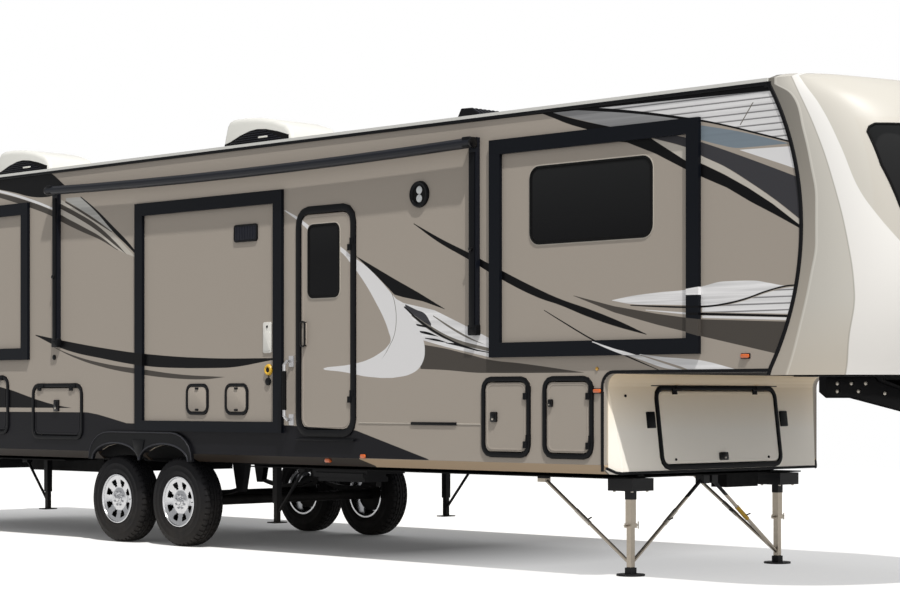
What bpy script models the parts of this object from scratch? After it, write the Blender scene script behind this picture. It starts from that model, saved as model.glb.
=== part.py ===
"""Fifth wheel travel trailer with four slide-out rooms, standing parked on its wheels and front legs.

Metres, +Z up, nose towards +X, entry door on the -Y side. Stations along X are counted from a
datum near the middle of the axle pair. The empty "datum" carries the whole trailer to its own
origin, which is on the ground under the middle of the overall box.
"""
import math
from collections import namedtuple

import bmesh
import bpy
from mathutils import Matrix, Vector

# Overall
DATUM_X = -1.715        # station 0 seen from the trailer's own origin
HALF_WIDTH = 1.2825     # outer face of a side wall
TAIL_X = -4.45          # outer face of the rear wall
FRONT_X = 5.38          # outer face of the lower front wall
EAVE_Z = 3.40           # top of the side walls
NOSE_Z = 1.47           # underside of the raised nose
SEAT = 0.0003           # gap between pieces that touch
RUNNING = 0.008         # gap round a door leaf
SLIDE_GAP = 0.015       # gap round a slide-out room in its opening

# Walls and roof
WALL = 0.050
SKIRT_TOP_Z = 0.818
SKIRT_BOTTOM_Z = 0.748
SKIRT_TUCK = 0.100      # how far the turned-under skirt runs inwards
SKIRT_SHEET = 0.028
ROOF_EDGE = 0.035       # thickness of the roof at its gutter
ROOF_CROWN = 0.080      # rise of the roof's middle above the walls
GUTTER_OUT = 0.013
GUTTER_DROP = 0.010
FRONT_CORNER = 0.090    # radius between the front wall and the nose
FRONT_LEAN = 0.080      # how far the foot of the front wall stands ahead of its top

# Floors
FLOOR_BOTTOM_Z = 0.870
FLOOR_TOP_Z = 1.040
HOLD_FLOOR = 0.030      # floor of the front hold
STEP_X = 4.05           # where the floor steps up to the nose deck
DECK_TOP_Z = 1.650
RISER = 0.050

# Front cap
SEAM_END_X = 6.84       # where the cap meets the walls, at its top and bottom
SEAM_BULGE = 0.268      # how far the seam bows forward between them
CAP_SHELL = 0.030
CAP_BOTTOM_Z = 1.450
CAP_SQUARENESS = 2.3    # 2 is an ellipse in plan, more is squarer
CAP_COLUMNS = 22
CAP_FLANGE = 0.030      # straight strip of the cap beside the seam
CAP_LID_Z = EAVE_Z + 0.064
CAP_LID_INSET = 0.090   # how much narrower the flat top is, on each side
CAP_LID_X = 7.250
CAP_WINDOW_TOP_Z = 3.080
CAP_WINDOW_LOW_Z = 2.080
CAP_WINDOW_TOP_INSET = 0.1825   # from the trailer's side to the window's top corner
CAP_WINDOW_LOW_INSET = 0.3525
CAP_WINDOW_CHAMFER = 0.060

# Chassis
RAIL_Y = HALF_WIDTH - 0.4825
RAIL_BOTTOM_Z = 0.724
RAIL_WIDTH = 0.075
RAIL_WEB = 0.012
RAIL_FLANGE = 0.012
BELLY = 0.010           # thickness of the underbelly sheet
BUMPER = 0.100
BUMPER_INSET = 0.1825   # from the trailer's side to the end of the rear bumper
BUMPER_ARM_Y = HALF_WIDTH - 0.6825
CROSS_MEMBERS = 7
TANK = (-2.500, -1.300, 0.600)      # both ends of the holding tank and its underside
TANK_Y = RAIL_Y - 0.020
DRIVE = (0.210, 0.600, 0.616)       # both ends of the legs' drive across the trailer, and its underside

# Wheels and axles
AXLE_MID_X = -0.060
AXLE_SPACING = 0.896
TYRE_RADIUS = 0.391
TYRE_WIDTH = 0.225
WHEEL_STEPS = 28
WHEEL_FACE_Y = HALF_WIDTH - 0.060   # outer sidewall of the tyres
SPINDLE_RADIUS = 0.030
AXLE_TUBE_RADIUS = 0.044
AXLE_FLAT = 0.0009      # how far the tube's facets lie inside its radius
DRUM_RADIUS = 0.155
ARCH_HALF = AXLE_SPACING / 2 + 0.252
ARCH_TOP_Z = 0.889
FENDER_TOP_Z = 1.005

# Doors
LEAF_THICK = 0.040
LEAF_PROUD = 0.005
TRIM_PROUD = 0.008
HINGE_OUT = 0.016       # hinge axis in front of the wall's face
HINGE_SIDE = 0.012      # hinge axis beside the leaf's edge
KNUCKLE_RADIUS = 0.007
KNUCKLE = 0.050
STRAP = 0.035
DOOR_TRIM = 0.046       # width of the frame round a door
ENTRY_TRIM = 0.070

# Slide-out rooms
ROOM_WALL = 0.040
FRAME_BAR = 0.110
FRAME_LAP = 0.050       # how far a slide frame reaches past its room
FRAME_THICK = 0.030
ROOM_PROUD = 0.0003

# sill is how far the frame reaches below its room
Slide = namedtuple("Slide", "name side x0 x1 z0 z1 depth sill")
SLIDES = (
    Slide("rear", -1, -3.450, -1.830, 1.710, 3.090, 0.70, 0.050),
    Slide("living", -1, -0.067, 1.834, FLOOR_TOP_Z + SEAT, 2.970, 0.95, 0.030),
    Slide("bedroom", -1, 4.316, 6.216, DECK_TOP_Z + SEAT, 3.175, 0.75, 0.050),
    Slide("dining", 1, -3.200, 1.000, FLOOR_TOP_Z + SEAT, 2.970, 0.95, 0.030),
)

# A door lies in the plane of its wall. Its hinge edge is named by the way it faces.
Door = namedtuple("Door", "name wall a0 a1 z0 z1 radius hinge")
DOORS = (
    Door("entry_door", "right", 2.112, 2.700, 1.050, 2.790, 0.080, "a+"),
    Door("hold_door_right", "right", 4.212, 4.626, 0.900, 1.412, 0.050, "a+"),
    Door("utility_door_right", "right", 4.837, 5.244, 0.900, 1.412, 0.050, "a+"),
    Door("hatch_right", "right", -1.690, -0.972, 0.960, 1.390, 0.050, "z+"),
    Door("hatch_right_rear", "right", -2.884, -2.166, 0.998, 1.470, 0.050, "z+"),
    Door("hold_door_left", "left", 4.212, 5.100, 0.900, 1.412, 0.050, "z+"),
    Door("hold_door_front", "front", -0.690, 0.690, 0.810, 1.345, 0.050, "z+"),
)

Window = namedtuple("Window", "name host side x0 x1 z0 z1 radius")
WINDOWS = (
    Window("bedroom_window", "bedroom", -1, 4.661, 5.838, 2.425, 3.000, 0.090),
    Window("dining_window", "dining", 1, -2.500, -0.300, 1.900, 2.700, 0.090),
    Window("entry_window", "entry_door", -1, 2.190, 2.575, 2.110, 2.710, 0.060),
)
REAR_WINDOW = (-0.650, 0.650, 1.950, 2.650, 0.090)
GLASS = 0.012

# Materials: colour, roughness, metallic
FINISHES = {
    "greige_panel": ((0.34, 0.31, 0.27), 0.35, 0.0),
    "cap_gelcoat": ((0.72, 0.68, 0.60), 0.25, 0.0),
    "black_trim": ((0.012, 0.013, 0.016), 0.40, 0.0),
    "black_steel": ((0.020, 0.020, 0.022), 0.55, 0.6),
    "dark_glass": ((0.010, 0.012, 0.016), 0.08, 0.0),
    "roof_membrane": ((0.75, 0.75, 0.73), 0.70, 0.0),
    "white_shroud": ((0.80, 0.80, 0.78), 0.45, 0.0),
    "rubber": ((0.018, 0.018, 0.019), 0.80, 0.0),
    "alloy": ((0.70, 0.70, 0.72), 0.30, 0.9),
    "zinc_steel": ((0.45, 0.46, 0.48), 0.40, 0.9),
    "underbelly_sheet": ((0.015, 0.015, 0.016), 0.65, 0.0),
}


def clear_scene():
    """Remove every object, so that the model starts from nothing."""
    for item in list(bpy.data.objects):
        bpy.data.objects.remove(item)


def make_collection(name):
    """Return a new collection in the scene."""
    group = bpy.data.collections.new(name)
    bpy.context.scene.collection.children.link(group)
    return group


def make_materials():
    """Return a Principled material for each finish."""
    made = {}
    for name, (colour, roughness, metallic) in FINISHES.items():
        mat = bpy.data.materials.new(name)
        mat.use_nodes = True
        shader = mat.node_tree.nodes["Principled BSDF"]
        shader.inputs["Base Color"].default_value = (*colour, 1.0)
        shader.inputs["Roughness"].default_value = roughness
        shader.inputs["Metallic"].default_value = metallic
        mat.diffuse_color = (*colour, 1.0)
        made[name] = mat
    return made


clear_scene()
PARTS = make_collection("fifth_wheel_trailer")
SHOP = make_collection("workshop")
MATERIALS = make_materials()
DATUM = bpy.data.objects.new("datum", None)
DATUM.location = (DATUM_X, 0.0, 0.0)
PARTS.objects.link(DATUM)


# Solids

def loose_object(data):
    """Put a mesh or curve in the workshop collection."""
    item = bpy.data.objects.new("blank", data)
    SHOP.objects.link(item)
    return item


def bake(item):
    """Return the item as a plain mesh object, with its modifiers and its place in the mesh."""
    graph = bpy.context.evaluated_depsgraph_get()
    mesh = bpy.data.meshes.new_from_object(item.evaluated_get(graph))
    mesh.transform(item.matrix_world)
    bpy.data.objects.remove(item)
    work = bmesh.new()
    work.from_mesh(mesh)
    bmesh.ops.remove_doubles(work, verts=work.verts, dist=1e-5)
    bmesh.ops.dissolve_degenerate(work, edges=work.edges, dist=1e-5)
    bmesh.ops.recalc_face_normals(work, faces=work.faces)
    work.to_mesh(mesh)
    work.free()
    return loose_object(mesh)


def block(low, high):
    """Return a box between two corners."""
    work = bmesh.new()
    bmesh.ops.create_cube(work, size=1.0)
    size = Vector(high) - Vector(low)
    bmesh.ops.scale(work, vec=size, verts=work.verts)
    bmesh.ops.translate(work, vec=(Vector(high) + Vector(low)) / 2, verts=work.verts)
    mesh = bpy.data.meshes.new("block")
    work.to_mesh(mesh)
    work.free()
    return loose_object(mesh)


PLANES = {
    "XY": Matrix(((1, 0, 0), (0, 1, 0), (0, 0, 1))),
    "XZ": Matrix(((1, 0, 0), (0, 0, -1), (0, 1, 0))),
    "YZ": Matrix(((0, 0, 1), (1, 0, 0), (0, 1, 0))),
}


def prism(plane, low, high, outline, holes=()):
    """Return a flat outline, with its holes, as thick as from low to high across its plane."""
    curve = bpy.data.curves.new("outline", "CURVE")
    curve.dimensions = "2D"
    curve.fill_mode = "BOTH"
    curve.extrude = (high - low) / 2
    curve.render_resolution_u = 0
    for loop in (outline, *holes):
        spline = curve.splines.new("POLY")
        spline.points.add(len(loop) - 1)
        for point, (a, b) in zip(spline.points, loop):
            point.co = (a, b, 0.0, 1.0)
        spline.use_cyclic_u = True
    item = loose_object(curve)
    turn = PLANES[plane]
    middle = (high + low) / 2
    sign = -1 if plane == "XZ" else 1
    item.matrix_world = Matrix.Translation(turn @ Vector((0, 0, sign * middle))) @ turn.to_4x4()
    return bake(item)


def arc(centre, radius, start, end, steps):
    """Return points on an arc, angles in degrees, both ends included."""
    radii = radius if isinstance(radius, tuple) else (radius, radius)
    points = []
    for index in range(steps + 1):
        angle = math.radians(start + (end - start) * index / steps)
        points.append((centre[0] + radii[0] * math.cos(angle), centre[1] + radii[1] * math.sin(angle)))
    return points


def round_rectangle(a0, a1, b0, b1, radius, steps=3):
    """Return the outline of a rectangle with round corners."""
    corners = ((a1 - radius, b0 + radius, 270), (a1 - radius, b1 - radius, 0),
               (a0 + radius, b1 - radius, 90), (a0 + radius, b0 + radius, 180))
    points = []
    for a, b, start in corners:
        points += arc((a, b), radius, start, start + 90, steps)
    return points


def rectangle(a0, a1, b0, b1):
    """Return the outline of a plain rectangle."""
    return [(a0, b0), (a1, b0), (a1, b1), (a0, b1)]


def rod(start, end, radius, sides=12):
    """Return a straight round bar between two points."""
    start, end = Vector(start), Vector(end)
    work = bmesh.new()
    bmesh.ops.create_cone(work, cap_ends=True, segments=sides, radius1=radius, radius2=radius,
                          depth=(end - start).length)
    turn = (end - start).to_track_quat("Z", "Y").to_matrix().to_4x4()
    bmesh.ops.transform(work, matrix=Matrix.Translation((start + end) / 2) @ turn, verts=work.verts)
    mesh = bpy.data.meshes.new("rod")
    work.to_mesh(mesh)
    work.free()
    return loose_object(mesh)


def beam(start, end, width, height):
    """Return a straight square bar between two points."""
    start, end = Vector(start), Vector(end)
    item = block((-width / 2, -height / 2, 0.0), (width / 2, height / 2, (end - start).length))
    turn = (end - start).to_track_quat("Z", "Y").to_matrix().to_4x4()
    item.data.transform(Matrix.Translation(start) @ turn)
    return item


def bent_tube(points, radius, resolution=2):
    """Return a round tube along points, with closed ends."""
    curve = bpy.data.curves.new("tube", "CURVE")
    curve.dimensions = "3D"
    curve.bevel_depth = radius
    curve.bevel_resolution = resolution
    curve.use_fill_caps = True
    curve.render_resolution_u = 0
    spline = curve.splines.new("POLY")
    spline.points.add(len(points) - 1)
    for point, place in zip(spline.points, points):
        point.co = (*place, 1.0)
    return bake(loose_object(curve))


def turned(profile, steps, place, outward):
    """Return a closed profile of (radius, depth) turned about an axis along Y.

    Depth is counted outwards from the plane y = place[1], and the profile runs down its
    outer side, so it goes from high depth to low depth at the largest radius.
    """
    work = bmesh.new()
    points = [work.verts.new((radius, 0.0, depth)) for radius, depth in profile]
    for index, point in enumerate(points):
        work.edges.new((point, points[(index + 1) % len(points)]))
    mesh = bpy.data.meshes.new("turned")
    work.to_mesh(mesh)
    work.free()
    item = loose_object(mesh)
    screw = item.modifiers.new("turn", "SCREW")
    screw.axis = "Z"
    screw.steps = steps
    screw.render_steps = steps
    screw.merge_threshold = 1e-5
    item.matrix_world = Matrix.Translation(place) @ Matrix.Rotation(outward * math.radians(-90), 4, "X")
    return bake(item)


def boolean(item, others, operation):
    """Cut the others from the item, or fuse them with it, in one operation."""
    group = bpy.data.collections.new("operands")
    for other in others:
        group.objects.link(other)
    change = item.modifiers.new("change", "BOOLEAN")
    change.operation = operation
    change.operand_type = "COLLECTION"
    change.collection = group
    result = bake(item)
    for other in others:
        bpy.data.objects.remove(other)
    bpy.data.collections.remove(group)
    return result


def cut(item, *cutters):
    """Cut the cutters out of the item."""
    return boolean(item, cutters, "DIFFERENCE")


def fuse(item, *others):
    """Fuse the others with the item."""
    return boolean(item, others, "UNION")


def place_part(item, name, finish, axis=None, smooth=False):
    """Name a finished solid, give it its material and hang it on the datum or on its axis."""
    item.name = name
    item.data.name = name
    item.data.materials.clear()
    item.data.materials.append(MATERIALS[finish])
    if smooth:
        item.data.shade_smooth()
        item.data.set_sharp_from_angle(angle=math.radians(35))
    SHOP.objects.unlink(item)
    PARTS.objects.link(item)
    item.parent = DATUM
    if axis is not None:
        item.parent = axis
        item.matrix_parent_inverse = Matrix.Translation(-Vector(axis.location))
    return item


def make_axis(name, place):
    """Return an empty on a joint's axis."""
    empty = bpy.data.objects.new(name, None)
    empty.location = place
    empty.parent = DATUM
    PARTS.objects.link(empty)
    return empty


# Cap and seam

def seam_x(z):
    """Return the station of the seam between walls and cap at a height."""
    half = (EAVE_Z - NOSE_Z) / 2
    radius = (half * half + SEAM_BULGE * SEAM_BULGE) / (2 * SEAM_BULGE)
    height = min(max(z, NOSE_Z), EAVE_Z) - (NOSE_Z + half)
    return SEAM_END_X + SEAM_BULGE - radius + math.sqrt(radius * radius - height * height)


CapRow = namedtuple("CapRow", "z nose_x")
CAP_ROWS = (
    CapRow(CAP_BOTTOM_Z, 7.800),
    CapRow(NOSE_Z, 7.810),
    CapRow(1.640, 7.880),
    CapRow(1.850, 7.955),
    CapRow(2.100, 8.010),
    CapRow(2.400, 8.030),
    CapRow(2.700, 8.005),
    CapRow(2.950, 7.940),
    CapRow(3.150, 7.835),
    CapRow(3.290, 7.710),
    CapRow(3.380, 7.570),
    CapRow(EAVE_Z, 7.530),
    CapRow(3.440, 7.410),
)


def cap_outline(z, nose_x, inset=0.0):
    """Return the plan of the cap at a height, from the right seam round the nose to the left."""
    start = seam_x(z) + SEAT
    reach = nose_x - start - CAP_FLANGE - inset
    half = HALF_WIDTH - inset
    points = [(start, -half)]
    for index in range(CAP_COLUMNS + 1):
        angle = math.pi * index / CAP_COLUMNS - math.pi / 2
        ahead = max(math.cos(angle), 0.0) ** (2 / CAP_SQUARENESS)
        aside = math.copysign(abs(math.sin(angle)) ** (2 / CAP_SQUARENESS), math.sin(angle))
        points.append((start + CAP_FLANGE + reach * ahead, half * aside))
    return points + [(start, half)]


def cap_shell():
    """Return the moulded nose as a shell lofted through its plans, with a lid on top."""
    work = bmesh.new()
    rings = []
    for row in CAP_ROWS:
        rings.append([work.verts.new((x, y, row.z)) for x, y in cap_outline(row.z, row.nose_x)])
    share = 1.0 - CAP_LID_INSET / HALF_WIDTH
    rings.append([work.verts.new((x, share * y, CAP_LID_Z)) for x, y in cap_outline(CAP_LID_Z, CAP_LID_X)])
    for lower, upper in zip(rings, rings[1:]):
        for index in range(len(lower) - 1):
            work.faces.new((lower[index], lower[index + 1], upper[index + 1], upper[index]))
    work.faces.new(rings[-1])
    mesh = bpy.data.meshes.new("cap")
    work.to_mesh(mesh)
    work.free()
    item = loose_object(mesh)
    wall = item.modifiers.new("wall", "SOLIDIFY")
    wall.thickness = CAP_SHELL
    wall.offset = -1.0
    wall.use_even_offset = True
    return bake(item)


def cap_window_outline(grow):
    """Return the outline, in y and z, of the dark panel in the cap's brow."""
    top, bottom = CAP_WINDOW_TOP_Z + grow, CAP_WINDOW_LOW_Z - grow
    wide = HALF_WIDTH - CAP_WINDOW_TOP_INSET + grow
    narrow = HALF_WIDTH - CAP_WINDOW_LOW_INSET + grow
    radius = CAP_WINDOW_CHAMFER
    right = [(narrow - radius, bottom), (narrow, bottom + radius), (wide, top - radius), (wide - radius, top)]
    return right + [(-y, z) for y, z in reversed(right)]


def make_cap():
    """Build the front cap and its window."""
    shell = cap_shell()
    glass = loose_object(shell.data.copy())
    hole = prism("YZ", 6.9, 8.4, cap_window_outline(0.0))
    pane = prism("YZ", 6.9, 8.4, cap_window_outline(-2 * SEAT))
    place_part(cut(shell, hole), "front_cap", "cap_gelcoat", smooth=True)
    place_part(boolean(glass, (pane,), "INTERSECT"), "cap_window", "dark_glass", smooth=True)


# Doors

def wall_frame(wall):
    """Return the matrix from (along, height, outwards) to the trailer for a wall's outer face."""
    if wall == "right":
        return Matrix(((1, 0, 0, 0), (0, 0, -1, -HALF_WIDTH), (0, 1, 0, 0), (0, 0, 0, 1)))
    if wall == "left":
        return Matrix(((1, 0, 0, 0), (0, 0, 1, HALF_WIDTH), (0, 1, 0, 0), (0, 0, 0, 1)))
    top = NOSE_Z - FRONT_CORNER
    lean = math.atan(FRONT_LEAN / (top - SKIRT_BOTTOM_Z))
    sine, cosine = math.sin(lean), math.cos(lean)
    return Matrix(((0, -sine, cosine, FRONT_X + top * sine), (1, 0, 0, 0),
                   (0, cosine, sine, top - top * cosine), (0, 0, 0, 1)))


def on_wall(item, wall):
    """Move a solid drawn in a wall's own frame to its place."""
    item.data.transform(wall_frame(wall))
    work = bmesh.new()
    work.from_mesh(item.data)
    bmesh.ops.recalc_face_normals(work, faces=work.faces)
    work.to_mesh(item.data)
    work.free()
    return item


def hinge_line(door):
    """Return a door's hinge axis as its two ends, in the wall's own frame."""
    if door.hinge == "z+":
        height = door.z1 + HINGE_SIDE
        return Vector((door.a0, height, HINGE_OUT)), Vector((door.a1, height, HINGE_OUT))
    along = door.a1 + HINGE_SIDE
    return Vector((along, door.z0, HINGE_OUT)), Vector((along, door.z1, HINGE_OUT))


def strap(first, last, low, high):
    """Return a flat strap in a wall's own frame, between two corners and two heights."""
    corner_a = Vector((min(first.x, last.x), min(first.y, last.y), low))
    corner_b = Vector((max(first.x, last.x), max(first.y, last.y), high))
    return block(corner_a, corner_b)


def hinge_halves(door):
    """Return the knuckles and straps of two hinges, as a list for the leaf and one for the wall."""
    start, end = hinge_line(door)
    run = (end - start).normalized()
    back = Vector((0, -1, 0)) if door.hinge == "z+" else Vector((-1, 0, 0))
    leaf, wall = [], []
    for share in (0.15, 0.85):
        middle = start.lerp(end, share)
        halves = ((leaf, -KNUCKLE, -SEAT / 2, back), (wall, SEAT / 2, KNUCKLE, -back))
        for group, low, high, side in halves:
            first, last = middle + run * low, middle + run * high
            group.append(rod(first, last, KNUCKLE_RADIUS, 10))
            group.append(strap(first, last + side * STRAP, TRIM_PROUD + 0.002, HINGE_OUT + 0.002))
            foot = middle + side * (HINGE_SIDE + 0.003)
            group.append(strap(foot + run * low, foot + run * high + side * (STRAP - HINGE_SIDE - 0.003),
                               -0.003, HINGE_OUT))
    return leaf, wall


def latch_for(door):
    """Return a paddle latch on the leaf, in the wall's own frame."""
    if door.wall == "front":
        centre = ((door.a0 + door.a1) / 2, door.z0 + 0.045)
        half = (0.040, 0.022)
    elif door.hinge == "z+":
        centre = ((door.a0 + door.a1) / 2, door.z1 - 0.160)
        half = (0.030, 0.045)
    elif door.name == "entry_door":
        centre = (door.a0 + 0.040, 1.820)
        half = (0.022, 0.100)
    elif door.name == "utility_door_right":
        centre = (door.a0 + 0.040, 1.260)
        half = (0.014, 0.020)
    else:
        centre = (door.a0 + 0.090, (door.z0 + door.z1) / 2)
        half = (0.025, 0.030)
    return block((centre[0] - half[0], centre[1] - half[1], LEAF_PROUD - 0.003),
                 (centre[0] + half[0], centre[1] + half[1], LEAF_PROUD + 0.018))


def make_door(door):
    """Build a hinged leaf with its knuckles and latch."""
    leaf = prism("XY", LEAF_PROUD - LEAF_THICK, LEAF_PROUD,
                 round_rectangle(door.a0, door.a1, door.z0, door.z1, door.radius),
                 [round_rectangle(w.x0, w.x1, w.z0, w.z1, w.radius) for w in WINDOWS if w.host == door.name])
    hinges, spare = hinge_halves(door)
    for item in spare:
        bpy.data.objects.remove(item)
    leaf = on_wall(fuse(leaf, latch_for(door), *hinges), door.wall)
    start, end = hinge_line(door)
    axis = make_axis(door.name + "_hinge", wall_frame(door.wall) @ ((start + end) / 2))
    finish = "greige_panel"
    place_part(leaf, door.name, finish, axis)
    return axis


def door_opening(door, grow=RUNNING):
    """Return the cutter for a door's opening in its wall."""
    outline = round_rectangle(door.a0 - grow, door.a1 + grow, door.z0 - grow, door.z1 + grow,
                              door.radius + grow)
    return on_wall(prism("XY", -0.2, 0.2, outline), door.wall)


def door_trim(door):
    """Return the raised frame round a door, with the wall's half of the hinges."""
    inner = round_rectangle(door.a0 - RUNNING, door.a1 + RUNNING, door.z0 - RUNNING, door.z1 + RUNNING,
                            door.radius + RUNNING)
    wide = ENTRY_TRIM if door.name == "entry_door" else DOOR_TRIM
    outer = round_rectangle(door.a0 - wide, door.a1 + wide, door.z0 - wide, door.z1 + wide,
                            door.radius + wide)
    spare, hinges = hinge_halves(door)
    for item in spare:
        bpy.data.objects.remove(item)
    ring = prism("XY", -0.004, TRIM_PROUD, outer, [inner])
    return on_wall(fuse(ring, *hinges), door.wall)


# Slide-out rooms

def slide_block(slide, grow, y_inner, y_outer):
    """Return a box with a room's outline, grown, between two distances from the centre plane."""
    sides = sorted((slide.side * y_inner, slide.side * y_outer))
    return block((slide.x0 - grow, sides[0], slide.z0 - grow), (slide.x1 + grow, sides[1], slide.z1 + grow))


def make_slide(slide):
    """Build one slide-out room with its outer frame."""
    face = HALF_WIDTH + ROOM_PROUD
    inner = face - slide.depth
    room = slide_block(slide, 0.0, inner, face)
    holes = [slide_block(slide, -ROOM_WALL, inner - 0.1, face - ROOM_WALL)]
    for window in WINDOWS:
        if window.host == slide.name:
            outline = round_rectangle(window.x0, window.x1, window.z0, window.z1, window.radius)
            middle = slide.side * face
            holes.append(prism("XZ", middle - 0.1, middle + 0.1, outline))
    room = cut(room, *holes)
    centre = ((slide.x0 + slide.x1) / 2, slide.side * face, (slide.z0 + slide.z1) / 2)
    axis = make_axis("slide_" + slide.name + "_track", centre)
    place_part(room, "slide_" + slide.name, "greige_panel", axis)
    outer = rectangle(slide.x0 - FRAME_LAP, slide.x1 + FRAME_LAP, slide.z0 - slide.sill, slide.z1 + FRAME_LAP)
    reach = FRAME_BAR - FRAME_LAP
    hole = rectangle(slide.x0 + reach, slide.x1 - reach, slide.z0 + reach, slide.z1 - reach)
    depths = sorted((slide.side * (face + SEAT), slide.side * (face + FRAME_THICK)))
    frame = prism("XZ", depths[0], depths[1], outer, [hole])
    place_part(frame, "slide_frame_" + slide.name, "black_trim", axis)
    return axis


def make_window(window, axis):
    """Build a pane that fills its opening."""
    face = HALF_WIDTH + (ROOM_PROUD if window.host != "entry_door" else LEAF_PROUD)
    depths = sorted((window.side * (face - GLASS), window.side * (face + 0.002)))
    outline = round_rectangle(window.x0 + SEAT, window.x1 - SEAT, window.z0 + SEAT, window.z1 - SEAT,
                              window.radius)
    place_part(prism("XZ", depths[0], depths[1], outline), window.name, "dark_glass", axis)


# Body

def arch_cutter(side):
    """Return the cutter for the double wheel arch."""
    lobe = ARCH_HALF / 2 - 0.012
    points = [(AXLE_MID_X - ARCH_HALF, 0.5)]
    for centre in (AXLE_MID_X - ARCH_HALF / 2, AXLE_MID_X + ARCH_HALF / 2):
        points += arc((centre, SKIRT_BOTTOM_Z), (lobe, ARCH_TOP_Z - SKIRT_BOTTOM_Z), 180, 0, 10)
    points += [(AXLE_MID_X + ARCH_HALF, 0.5)]
    depths = sorted((side * (HALF_WIDTH + 0.1), side * (HALF_WIDTH - 0.3)))
    return prism("XZ", depths[0], depths[1], points)


def side_wall_blank(side):
    """Return a side wall with its turned-under skirt, as one extruded section."""
    outer, inner = side * HALF_WIDTH, side * (HALF_WIDTH - WALL)
    foot = side * (HALF_WIDTH - SKIRT_TUCK)
    heel = side * (HALF_WIDTH - SKIRT_TUCK - SKIRT_SHEET)
    section = [(outer, EAVE_Z), (outer, SKIRT_TOP_Z), (foot, SKIRT_BOTTOM_Z), (heel, SKIRT_BOTTOM_Z),
               (inner, SKIRT_TOP_Z - 0.026), (inner, EAVE_Z)]
    return prism("YZ", TAIL_X, SEAM_END_X + 0.4, section)


def front_cutter():
    """Return what lies ahead of the side walls: below the nose and beyond the seam."""
    points = [(FRONT_X, 0.4)]
    points += arc((FRONT_X + FRONT_CORNER, NOSE_Z - FRONT_CORNER), FRONT_CORNER, 180, 90, 5)
    points += [(seam_x(row.z), row.z) for row in CAP_ROWS if NOSE_Z <= row.z <= EAVE_Z]
    points += [(SEAM_END_X, EAVE_Z + 0.3), (SEAM_END_X + 1.0, EAVE_Z + 0.3), (SEAM_END_X + 1.0, 0.4)]
    return prism("XZ", -2.0, 2.0, points)


def make_side_wall(name, side):
    """Build a side wall, cut for its arch, slide-outs and doors."""
    inner = HALF_WIDTH - WALL
    cutters = [arch_cutter(side), front_cutter(),
               block((FRONT_X - WALL - SEAT, -inner, 0.5), (FRONT_X + 0.3, inner, NOSE_Z)),
               block((TAIL_X - 0.1, -inner, 0.5), (TAIL_X + WALL + SEAT, inner, SKIRT_TOP_Z + 0.1))]
    for slide in SLIDES:
        if slide.side == side:
            cutters.append(slide_block(slide, SLIDE_GAP, HALF_WIDTH - 0.3, HALF_WIDTH + 0.3))
    doors = [door for door in DOORS if door.wall == name]
    cutters += [door_opening(door) for door in doors]
    wall = cut(side_wall_blank(side), *cutters)
    if doors:
        wall = fuse(wall, *[door_trim(door) for door in doors])
    place_part(wall, "wall_" + name, "greige_panel")


def skirt_corner(side):
    """Return the cutter that carries the skirt's slope across an end wall's corner."""
    outer, foot = side * HALF_WIDTH, side * (HALF_WIDTH - SKIRT_TUCK)
    return prism("YZ", TAIL_X - 0.1, FRONT_X + 0.3,
                 [(outer, 0.5), (outer, SKIRT_TOP_Z), (foot, SKIRT_BOTTOM_Z), (foot, 0.5)])


def make_rear_wall():
    """Build the rear wall and its window."""
    half = HALF_WIDTH - WALL - SEAT
    a0, a1, z0, z1, radius = REAR_WINDOW
    hole = round_rectangle(a0, a1, z0, z1, radius)
    wall = prism("YZ", TAIL_X, TAIL_X + WALL, rectangle(-half, half, SKIRT_BOTTOM_Z, EAVE_Z), [hole])
    wall = cut(wall, skirt_corner(-1), skirt_corner(1))
    place_part(wall, "wall_rear", "greige_panel")
    pane = round_rectangle(a0 + SEAT, a1 - SEAT, z0 + SEAT, z1 - SEAT, radius)
    place_part(prism("YZ", TAIL_X - 0.002, TAIL_X + GLASS, pane), "rear_window", "dark_glass")


def front_facet(side):
    """Return the cutter for the flat that tapers the leaning front wall at its corner."""
    near, far = side * (HALF_WIDTH - WALL - SEAT), side * (HALF_WIDTH - WALL - 2 * FRONT_LEAN)
    outline = [(FRONT_X, near), (FRONT_X + 2 * FRONT_LEAN, far), (FRONT_X + 2 * FRONT_LEAN, side * 1.5),
               (FRONT_X, side * 1.5)]
    return prism("XY", 0.5, NOSE_Z - FRONT_CORNER - 0.010, outline)


def make_front_wall():
    """Build the lower front wall: leaning face and the corner that turns into the nose."""
    centre = (FRONT_X + FRONT_CORNER, NOSE_Z - FRONT_CORNER)
    points = [(FRONT_X + FRONT_LEAN, SKIRT_BOTTOM_Z)]
    points += arc(centre, FRONT_CORNER - SEAT, 180, 90, 5)
    points += [(FRONT_X - WALL, NOSE_Z - SEAT), (FRONT_X - WALL, SKIRT_BOTTOM_Z)]
    half = HALF_WIDTH - WALL - SEAT
    doors = [door for door in DOORS if door.wall == "front"]
    wall = cut(prism("XZ", -half, half, points), skirt_corner(-1), skirt_corner(1),
               front_facet(-1), front_facet(1), *[door_opening(door) for door in doors])
    wall = fuse(wall, *[door_trim(door) for door in doors])
    place_part(wall, "wall_front", "greige_panel")


def roof_radius():
    """Return the radius of the roof's crown across the trailer."""
    out = HALF_WIDTH + GUTTER_OUT
    rise = ROOF_CROWN - ROOF_EDGE
    return (out * out + rise * rise) / (2 * rise)


def roof_z(y):
    """Return the height of the roof's top at a distance from the centre plane."""
    radius = roof_radius()
    return EAVE_Z + ROOF_CROWN - radius + math.sqrt(radius * radius - y * y)


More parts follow.
